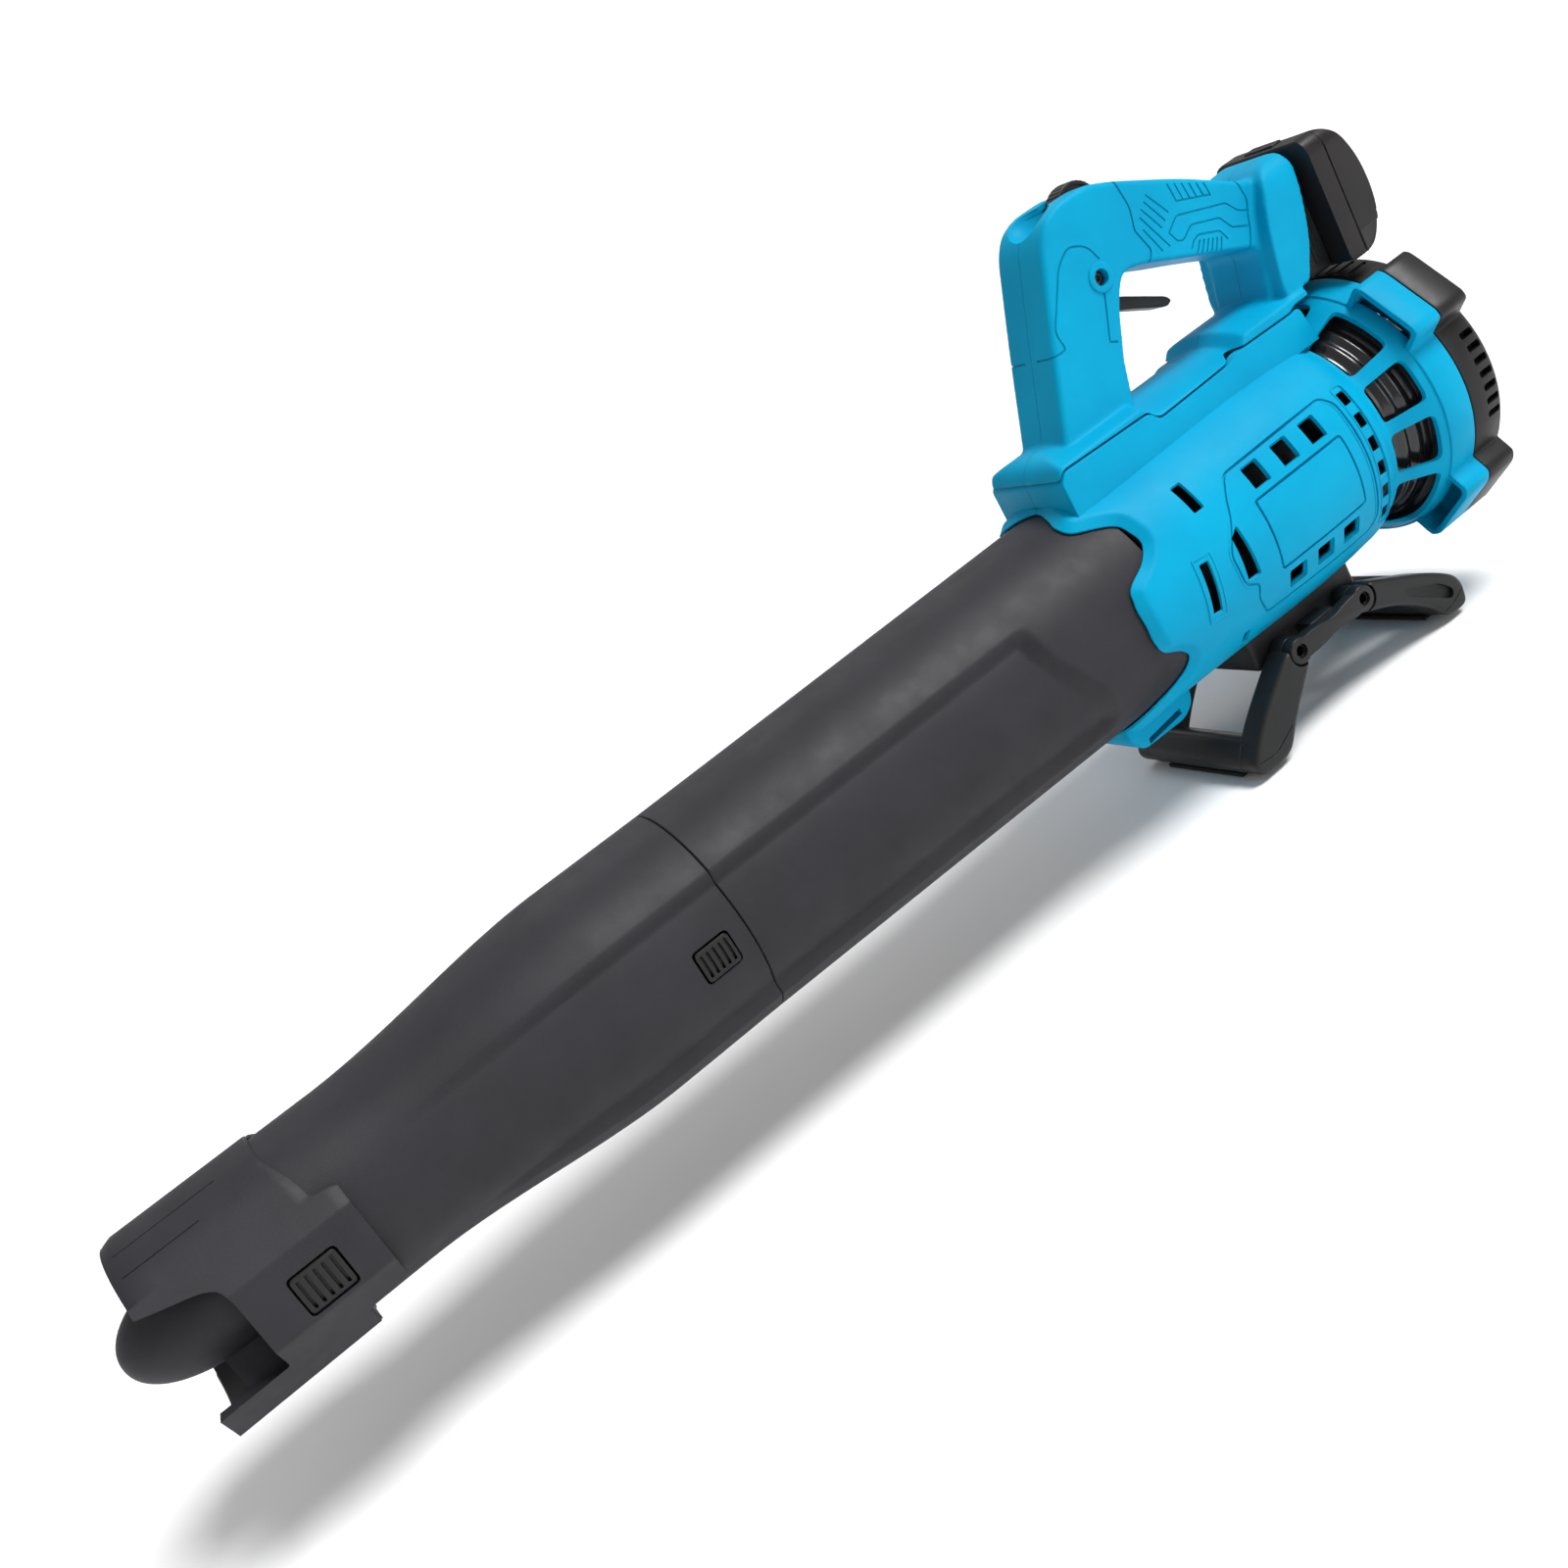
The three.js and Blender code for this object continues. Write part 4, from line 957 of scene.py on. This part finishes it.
def handle_body():
    loop = side_prism(LOOP, HALF, 11)
    subtract(loop, bevelled(prism("gap", rounded(HAND_GAP, 6), -60, 60), 0.1, 1))
    bevelled(loop, 8, 5, 60)
    back = rounded([(-32.5, 84, 6), (32.5, 84, 6), (32.5, 164.3, 21), (-32.5, 164.3, 21)], 10)
    flange = prism("plate", back, 470, 540, "x")
    intersect(flange, prism("plate_side", rounded(PLATE, 6), -60, 60))
    bevelled(flange, 4, 4, 50)
    base = side_prism([(287.5, 60), (287.5, 84, 7), (294, 94.5, 8), (308, 97.5, 6), (492, 97.5, 6),
                       (494, 60)], BASE_HALF, 1.5, 2)
    crown = [(270, 0), (270, 96.5), (355, 96.5), (363, 88.2), (432, 88.2), (439, 95.6), (510, 95.6),
             (510, 0)]
    intersect(base, turned("crown", crown, 240))
    bevelled(base, 3, 3, 40)
    throat = side_prism([(485, 80), (483, 100, 8), (487, 122, 8), (492, 138, 6), (507, 140),
                         (504, 80)], 25, 8)
    body = merged(loop, flange, base, throat)
    modify(body, "REMESH", mode="VOXEL", voxel_size=1.25 * MM)
    modify(body, "SMOOTH", factor=0.5, iterations=9)
    seam = [(260, 40), (260, 82.2), *[(x, z + GAP, *r) for x, z, *r in SEAM], (520, 40)]
    below = prism("below", rounded(seam, 4), -60, 60)
    cone = [(476, 0), (476, 70), (487, 70.5), (513, 82.6), (560, 82.6), (560, 0)]
    rear_clear = turned("clear", cone, 120)
    front_bar = drum("bar", 200, 600, BARREL_R + GAP, 200)
    subtract(body, intersect(below, block("keep", 280, 700, -80, 80, 20, 200)), rear_clear,
             front_bar, block("skirt", 200, 285, -80, 80, 20, 72))
    return body


def across(first, last, count):
    """Evenly spaced short strokes between a first and a last stroke."""
    first, last = np.array(first, float), np.array(last, float)
    return [[tuple(p) for p in first + (last - first) * i / (count - 1)] for i in range(count)]


POST_LINES = [
    (divided(rounded([(318, 139.5), (336.6, 139.1, 3), (334.5, 150, 4), (354.7, 179, 6),
                      (365.6, 185.2, 4), (377, 180, 5), (381.2, 170)], 5), 3), 1.1),
    (rounded([(374.6, 152.6), (364.2, 128.4), (369, 126)], 3), 1.1),
    (divided(rounded([(411, 214), (411.8, 196, 5), (413.6, 184.2, 4), (410.2, 171.5, 2),
                      (415.1, 157.5, 2), (411.5, 153), (407, 146)], 5), 3), 1.1),
    (rounded([(487, 170), (489.8, 149, 3), (486.4, 143, 3), (483.6, 134.2, 3), (478, 124)], 4),
     0.9),
]
CHEVRONS = [[(426.7, 184.8), (436.2, 169.3)], [(423.7, 182), (431.9, 166.5)],
            [(419.8, 179.6), (427.8, 164.2)], [(416.9, 176), (427.7, 153)],
            [(415.6, 169.4), (422, 153)]]
CIRCUIT = [
    [(430.7, 159.5), (440.1, 165.2, 1.5), (474.6, 155.1, 1.5), (481.1, 147.0, 1.5), (488, 144)],
    [(430.7, 159.5), (434.1, 152.6, 1.5), (438.2, 151.4, 1.5), (446.8, 156.2, 1.5),
     (466.8, 150, 1.5), (472.4, 141.2, 1.5), (481.1, 137.6, 1), (484, 136)],
    [(440.5, 144.5), (444.1, 147.8, 1), (449, 149, 1), (463.3, 143.8, 1), (466.4, 137.2)],
    [(443.7, 172.2), (467.7, 163.9)],
]
TOP_RIBS = across([(443.1, 183), (444.2, 172.6)], [(466.4, 172), (467.4, 164.4)], 6)
LOW_RIBS = across([(448.2, 146.2), (443, 140.5)], [(463, 140.4), (459, 134)], 6)


def handle():
    body = handle_body()
    strokes = POST_LINES + [(stroke, 0.9) for stroke in CHEVRONS + TOP_RIBS + LOW_RIBS] \
        + [(rounded(path, 3), 0.9) for path in CIRCUIT]
    engrave(body, 0.8, [side_strip(path, width, side, 6, 45) for path, width in strokes
                        for side in SIDES])
    collar = bevelled(union(bar("collar", *SCREW_AT, 8.4, -HALF - 0.9, -14, 48),
                            bar("collar", *SCREW_AT, 8.4, 14, HALF + 0.9, 48)), 0.8, 3)
    union(body, collar)
    subtract(body, prism("cavity", rounded(CAVITY), -17.5, 17.5))
    subtract(body, bar("recess", *SCREW_AT, 4.7, -40, -15.5, 40),
             bar("bore", *SCREW_AT, 1.8, -20, 16.5, 24),
             bar("plug_seat", *SCREW_AT, 4.7, 20.6, 40, 40))
    union(body, thumb_well_floor())
    subtract(body, thumb_well(), bevelled(block("well", 378.3, 413.4, -7.0, 7.0, 176, 240), 1.5, 3),
             bevelled(block("slit", 372, 392, -7.9, 7.9, 134, 150.5), 1.0, 2))
    return body


def thumb_well_floor():
    outline = [(355, 186), (358, 197, 3), (366, 204.6, 2), (378, 204.6), (378, 186)]
    return prism("floor", rounded(outline, 3), -17, 17)


def thumb_well():
    """Egg-shaped hollow for the thumb, leaning along the top of the post."""
    steps, rings = 40, 16
    points = []
    lean = math.radians(-16)
    for i in range(rings + 1):
        a = math.pi * i / rings
        for j in range(steps):
            b = 2 * math.pi * j / steps
            u, v = 15 * math.sin(a) * math.cos(b), 15.8 * math.sin(a) * math.sin(b)
            w = 12.5 * math.cos(a)
            points.append((364.5 + u * math.cos(lean) + w * math.sin(lean), v,
                           208.5 - u * math.sin(lean) + w * math.cos(lean)))
    return make("dish", points, loop_faces(rings + 1, steps, closed_rows=False))


whole = handle()
for side, word in SIDES.items():
    shell = intersect(copy(whole), half(side))
    finish(shell, "housing", "blue_plastic", f"handle_{word}")
remove(whole)


# ------------------------------------------------------------------ trigger, dial and screw
def trigger():
    outline = rounded([(368, 146), (385, 146.3, 5), (394, 143.2, 6), (423.6, 127.2, 3),
                       (426.2, 123.4, 2), (421.8, 121.4, 3), (394, 135, 7), (384, 137.6, 5),
                       (368, 137.8)], 5)
    lever = bevelled(prism("lever", outline, -6.8, 6.8), 2.4, 4)
    hub = bevelled(bar("hub", *TRIGGER_PIN, 4.9, -6.8, 6.8, 48), 0.8, 3)
    union(lever, hub)
    for i in range(5):
        x = 398 + 4.5 * i
        subtract(lever, bevelled(block("line", x, x + 1, -5, 5, 122, 125.4 - 2.6 * i), 0.2, 1))
    subtract(lever, block("spring_bay", 363, 376, -4.1, 4.1, 136, 152),
             bar("bore", *TRIGGER_PIN, 2.1, -20, 20))
    return lever


def speed_dial():
    x, z = DIAL_AXLE
    wheel = bevelled(bar("dial", x, z, 15.8, -5.9, 5.9, 120), 1.2, 3)
    for i in range(36):
        a = math.radians(10 * i)
        at = (x + 16.3 * math.cos(a), z + 16.3 * math.sin(a))
        subtract(wheel, bar("knurl", *at, 0.95, -9, 9, 12))
    for side in SIDES:
        dish = bar("face", x, z, 13.4, *outward(side, 5.0, 8), 64)
        subtract(wheel, subtract(dish, bar("hub", x, z, 6, -9, 9, 48)))
    return subtract(wheel, bar("bore", x, z, 2.1, -20, 20))


def handle_screw():
    x, z = SCREW_AT
    head = bevelled(bar("screw", x, z, 3.9, -19.5, -16.6, 48), 0.5, 2)
    union(head, bar("shank", x, z, 1.5, -17, 15))
    lobes = [block("lobe", x - 2.1, x + 2.1, -22, -17.6, z - 0.6, z + 0.6) for _ in range(3)]
    star = union(*[spun(lobe, 60 * i, "Y", (x, 0, z)) for i, lobe in enumerate(lobes)])
    return subtract(head, star)


finish(trigger(), "trigger_lever", "black_plastic", "trigger")
finish(speed_dial(), "dial", "black_plastic", "speed_dial")
finish(handle_screw(), "housing", "screw_steel", "handle_screw")


# ------------------------------------------------------------------ battery
PACK_SIDE = [(528.1, 88.5, 3), (528.1, 163.8, 3), (544, 163.8, 5), (553.5, 156, 8),
             (560.9, 138, 12), (562.4, 116, 12), (558.2, 97.5, 10), (548.5, 86.2, 7),
             (531, 86.2, 2)]
PACK_SPLIT = 541


def pack_block():
    """The whole battery pack, before its parts and openings are cut."""
    side = prism("pack", rounded(PACK_SIDE, 8), -39, 39)
    back = rounded([(-38.9, 80, 9), (38.9, 80, 9), (38.9, 164, 13), (-38.9, 164, 13)], 10)
    return bevelled(intersect(side, prism("ends", back, 520, 570, "x")), 5.5, 5, 35)


def battery_pack():
    whole = pack_block()
    inner = copy(whole)
    inner.data.transform(scaling((545, 0, 125), (0.80, 0.93, 0.93)))
    base = intersect(copy(whole), block("front", 500, PACK_SPLIT - SPLIT, -60, 60, 60, 180))
    cover = intersect(whole, block("rear", PACK_SPLIT + SPLIT, 600, -60, 60, 60, 180))
    subtract(cover, inner)
    subtract(base, block("neck", 520, 531.7, -10.7, 10.7, 70, 143.6),
             block("head", 530.3, 535.9, -14.7, 14.7, 70, 143.6),
             block("pocket", 529.9, 539.9, -12.5, 12.5, 146.6, 175))
    for side in SIDES:
        subtract(base, block("blade_slot", 534, 540.2, *outward(side, 5.6, 8.4), 70, 135.4))
        rim = block("rim", PACK_SPLIT - 0.7, PACK_SPLIT + 0.7, *outward(side, 38.1, 45), 60, 180)
        subtract(base, copy(rim))
        subtract(cover, rim)
        subtract(cover, bevelled(block("step", 543, 575, *outward(side, 37.9, 45), 70, 99), 0.8, 2),
                 bevelled(block("clip", 559, 575, *outward(side, 24, 45), 102, 104.2), 0.3, 1))
    for x, z in ((558.5, 122), (558.5, 128), (558.5, 134), (558, 140)):
        subtract(cover, bevelled(block("rib", x, 570, -22, 22, z, z + 1.6), 0.3, 1))
    return base, cover


def scaling(centre, factors):
    """Matrix that scales about a point given in millimetres."""
    point = Vector(place([centre])[0])
    return Matrix.Translation(point) @ Matrix.Diagonal((*factors, 1)) @ Matrix.Translation(-point)


def battery_release():
    button = bevelled(block("release", 530.5, 539.3, -11.9, 11.9, 152.1, 165.1), 1.0, 3)
    for y in (-8, -4.8, -1.6, 1.6, 4.8, 8):
        subtract(button, bevelled(block("rib", 531.8, 538, y - 0.8, y + 0.8, 164.2, 168), 0.25, 1))
    return button


def battery_rail():
    outline = [(524.6, 150), (521.5, 138, 12), (514.0, 112, 12), (501.9, 90.2), (527.6, 88.3),
               (527.6, 150)]
    side = prism("rail", rounded(outline, 5), -23.9, 23.9)
    bevelled(side, 1.2, 3, 50)
    union(side, block("neck", 527, 531.3, -9.9, 9.9, 92.1, 141.9),
          block("head", 530.8, 535.1, -13.9, 13.9, 92.1, 141.9))
    for i in range(4):
        x = 516 + 2.9 * i
        for face in SIDES:
            flute = block("flute", x, x + 1.2, *outward(face, 23.2, 30), 94 + 3 * i, 146)
            subtract(side, bevelled(flute, 0.2, 1))
    return side


base, cover = battery_pack()
finish(base, "battery_pack", "battery_plastic", "battery_base")
finish(cover, "battery_pack", "battery_plastic", "battery_cover")
finish(battery_release(), "battery_button", "battery_plastic", "battery_release")
finish(battery_rail(), "housing", "black_plastic", "battery_rail")


def battery_cell(z):
    """One cell with its shrink sleeve, lipped over at both ends."""
    profile = [(-32, 0), (-32, 1.9), (-31.4, 2.3), (-31.4, 5.6), (-32.2, 5.9), (-32.4, 6.5),
               (-31.8, 6.9), (31.8, 6.9), (32.4, 6.5), (32.2, 5.9), (31.4, 5.6), (31.4, 2.3),
               (32, 1.9), (32, 0)]
    steps = 32
    turns = [2 * math.pi * j / steps for j in range(steps)]
    points = [(549.4 + r * math.cos(a), y, z + r * math.sin(a)) for y, r in profile for a in turns]
    return make("cell", points, loop_faces(len(profile), steps, closed_rows=False))


for i, z in enumerate((101.6, 116.4, 131.2, 146.0), 1):
    finish(battery_cell(z), "battery_pack", "cell_sleeve", f"battery_cell_{i}", angle=32)


# ------------------------------------------------------------------ folding stand
PIVOT_Z = -78.8
FRONT_PIVOT, REAR_PIVOT = 368, 423.5
BAR_Y, OUTER_Y, ARM_IN = 48, 56, 37.6
BOSS_R = 8.2


def eye(x):
    return bar("eye", x, PIVOT_Z, 4.2, -80, 80, 48)


def stand_rail():
    rail = bevelled(block("saddle", 350.4, 439.6, -36, 36, -83.8, -55), 3.5, 4)
    for side in SIDES:
        y0, y1 = outward(side, BAR_Y, OUTER_Y)
        outline = rounded([(FRONT_PIVOT, 6.4), (386, 6.4, 12), (398, 3.4, 14), (410, 6.4, 10),
                           (REAR_PIVOT, 6.4), (REAR_PIVOT, -6.4), (409, -6.4, 8), (398, -4.4, 12),
                           (386, -6.4, 8), (FRONT_PIVOT, -6.4)], 6) + (0, PIVOT_Z)
        side_bar = bevelled(prism("bar", outline, y0, y1), 1.6, 3, 50)
        for x in (FRONT_PIVOT, REAR_PIVOT):
            boss = bar("boss", x, PIVOT_Z, BOSS_R - 0.1, y0 + 0.1, y1 - 0.1, 64)
            union(side_bar, bevelled(boss, 1.2, 3))
        web = block("web", 386.3, 405.7, *outward(side, 30, BAR_Y + 1), -83.6, -72.4)
        union(rail, side_bar, bevelled(web, 1.0, 2))
    subtract(rail, drum("barrel", 300, 500, BARREL_R + GAP, 240),
             eye(FRONT_PIVOT), eye(REAR_PIVOT))
    return rail


def leg(pivot, arm, foot, window, groove):
    """Two arms joined by a foot bar, with a knuckle each round the pivot."""
    arms = []
    for side in SIDES:
        flush = bevelled(prism("arm", rounded(arm, 8), *outward(side, ARM_IN, OUTER_Y)), 3.2, 4, 50)
        subtract(flush, bar("clear", pivot, PIVOT_Z, BOSS_R + 1.0, *outward(side, BAR_Y - 0.5, 70),
                            64))
        knuckle = bar("knuckle", pivot, PIVOT_Z, BOSS_R - 0.1, *outward(side, ARM_IN, BAR_Y - 0.5),
                      64)
        union(flush, bevelled(knuckle, 0.8, 2))
        if window:
            pocket = prism("window", rounded(window, 6), *outward(side, OUTER_Y - 3.5, 70))
            subtract(flush, bevelled(pocket, 0.8, 2, 50))
        subtract(flush, side_strip(rounded(groove, 5), 0.9, side, OUTER_Y - 0.7, 70))
        arms.append(flush)
    foot_bar = bevelled(prism("foot", rounded(foot, 8), -ARM_IN - 4, ARM_IN + 4), 2.0, 4, 50)
    return subtract(union(*arms, foot_bar), eye(pivot))


def leg_pin(x, side):
    pin = bevelled(bar("pin", x, PIVOT_Z, 3.9, *outward(side, 38.1, 54.2), 40), 0.4, 2)
    return subtract(pin, bar("socket", x, PIVOT_Z, 3.2, *outward(side, 46, 60)))


def foot_pad(x0, x1):
    pad = bevelled(block("pad", x0 + 0.1, x1 - 0.1, -33.9, 33.9, -129.95, -127.35), 0.8, 3)
    for i in range(9):
        subtract(pad, block("tread", x0 - 1, x1 + 1, -28.4 + 7 * i, -27.6 + 7 * i, -131, -129.3))
    return pad


FRONT_ARM = [(372.2, -87, 5), (362, -71.8, 8), (340, -86, 20), (318, -103, 14), (304.8, -117.5, 7),
             (309, -127.1, 5), (333, -127.1, 9), (345, -112, 20)]
FRONT_FOOT = [(316, -104, 8), (303.9, -117, 7), (309, -127.1, 5), (332, -127.1, 5), (338, -119, 6)]
REAR_ARM = [(421, -87.2, 5), (430, -71.3, 7), (478, -95, 14), (496.2, -109, 9), (494, -127.1, 6),
            (477, -127.1, 7), (466, -112, 12), (445, -97, 20)]
REAR_FOOT = [(478, -97, 8), (496.2, -109, 9), (494, -127.1, 6), (477, -127.1, 7), (470, -114, 8)]
REAR_WINDOW = [(452, -91, 3), (478, -103, 5), (487, -112, 4), (484, -118, 4), (470, -108, 5),
               (453, -97, 3)]

finish(stand_rail(), "housing", "stand_plastic", "stand_rail", angle=40)
front_leg = leg(FRONT_PIVOT, FRONT_ARM, FRONT_FOOT, None,
                [(309, -117.5), (322, -119.5, 4), (340, -112)])
rear_leg = leg(REAR_PIVOT, REAR_ARM, REAR_FOOT, REAR_WINDOW,
               [(472, -121.5), (484, -120, 4), (495, -115)])
for end, piece in (("front", front_leg), ("rear", rear_leg)):
    finish(piece, f"{end}_stand_leg", "stand_plastic", f"{end}_leg", angle=40)
for side, word in SIDES.items():
    for pivot, end in ((FRONT_PIVOT, "front"), (REAR_PIVOT, "rear")):
        finish(leg_pin(pivot, side), "housing", "shaft_steel", f"{end}_leg_pin_{word}",
               angle=32)
for end, x0, x1 in (("front", 309, 331), ("rear", 477, 493)):
    finish(foot_pad(x0, x1), f"{end}_stand_leg", "foot_rubber", f"{end}_foot_pad", angle=32)


# ------------------------------------------------------------------ parts that keep their CAD shape
INNER = {
    BLACK: ["fan_duct", "motor_mount", "tail_cone", "trigger_switch"],
    STEEL: ["motor_can", "motor_shaft", "front_bearing", "rear_bearing", "trigger_pin",
            "trigger_spring", "dial_axle", "motor_rotor"],
    COPPER: ["motor_stator"],
    BRASS: ["terminal_blade_left", "terminal_blade_right"],
    BOARD: ["controller_board"],
}
for material, nodes in INNER.items():
    for node in nodes:
        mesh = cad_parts[node].data
        mesh.materials.clear()
        mesh.materials.append(material)


# ------------------------------------------------------------------ stage, light and camera
# Metres. The floor lies a little below the pads, and the screen rings it.
FLOOR_HALF, FLOOR_Z, SCREEN_R = 40, -0.0005, 36
CAMERA_AT, CAMERA_LENS = (-0.2997, -0.7981, 0.4520), 38.28
CAMERA_RIGHT, CAMERA_UP, CAMERA_BACK = (0.7562, -0.4332, -0.4904), (0.5811, 0.1000, 0.8077), \
    (-0.3008, -0.8957, 0.3273)
# Soft lights: the direction they shine from, their spread in degrees and their strength.
SUNS = [
    ("key", (0.45, -0.45, 1.0), 22, 3.35),
    ("front", (0.15, -1.0, 0.25), 25, 0.4),
    ("rim", (0.3, 0.9, 0.9), 30, 0.3),
]


def stage_piece(name, points, faces, material):
    """A named object of the stage, in metres."""
    mesh = bpy.data.meshes.new(name)
    mesh.from_pydata(points, [], faces)
    mesh.materials.append(material)
    piece = bpy.data.objects.new(name, mesh)
    bpy.context.collection.objects.link(piece)
    return piece


def backdrop():
    """Distant pale screen that hides the horizon and lights nothing."""
    glow = Tree("pale screen")
    glow.set(Base_Color=glow.mix(glow.ramp(glow.noise(0.02), 0.4, 0.6), grey(0.82), grey(0.80)),
             Roughness=1.0, Emission_Color=grey(0.9), Emission_Strength=1.1)
    count = 48
    turns = [2 * math.pi * i / count for i in range(count)]
    points = [(SCREEN_R * math.cos(a), SCREEN_R * math.sin(a), z) for z in (-1, 22) for a in turns]
    faces = [(i, (i + 1) % count, count + (i + 1) % count, count + i) for i in range(count)]
    screen = stage_piece("screen", points, faces, glow.material)
    screen.visible_diffuse = False
    screen.visible_glossy = False
    screen.visible_shadow = False


def stage_and_camera():
    pale = Tree("pale studio floor")
    pale.set(Base_Color=pale.mix(pale.ramp(pale.noise(3.0), 0.4, 0.6), grey(0.93), grey(0.90)),
             Roughness=0.85)
    sweep = [(-FLOOR_HALF, -FLOOR_HALF), (FLOOR_HALF, -FLOOR_HALF), (FLOOR_HALF, FLOOR_HALF),
             (-FLOOR_HALF, FLOOR_HALF)]
    stage_piece("floor", [(x, y, FLOOR_Z) for x, y in sweep], [(0, 1, 2, 3)], pale.material)
    backdrop()
    world = bpy.data.worlds.new("studio")
    world.use_nodes = True
    sky = world.node_tree.nodes["Background"].inputs
    sky["Color"].default_value, sky["Strength"].default_value = (0.95, 0.95, 0.96, 1), 0.44
    bpy.context.scene.world = world
    for name, direction, spread, power in SUNS:
        data = bpy.data.lights.new(name, "SUN")
        data.angle, data.energy = math.radians(spread), power
        light = bpy.data.objects.new(name, data)
        light.rotation_mode = "QUATERNION"
        light.rotation_quaternion = Vector(direction).to_track_quat("Z", "Y")
        bpy.context.collection.objects.link(light)
    data = bpy.data.cameras.new("camera")
    data.lens, data.sensor_width = CAMERA_LENS, 36
    data.clip_start, data.clip_end = 0.02, 400
    camera = bpy.data.objects.new("camera", data)
    turn = Matrix((CAMERA_RIGHT, CAMERA_UP, CAMERA_BACK)).transposed().to_4x4()
    camera.matrix_world = Matrix.Translation(CAMERA_AT) @ turn
    bpy.context.collection.objects.link(camera)
    bpy.context.scene.camera = camera


stage_and_camera()
bpy.context.scene.view_settings.view_transform = "Standard"
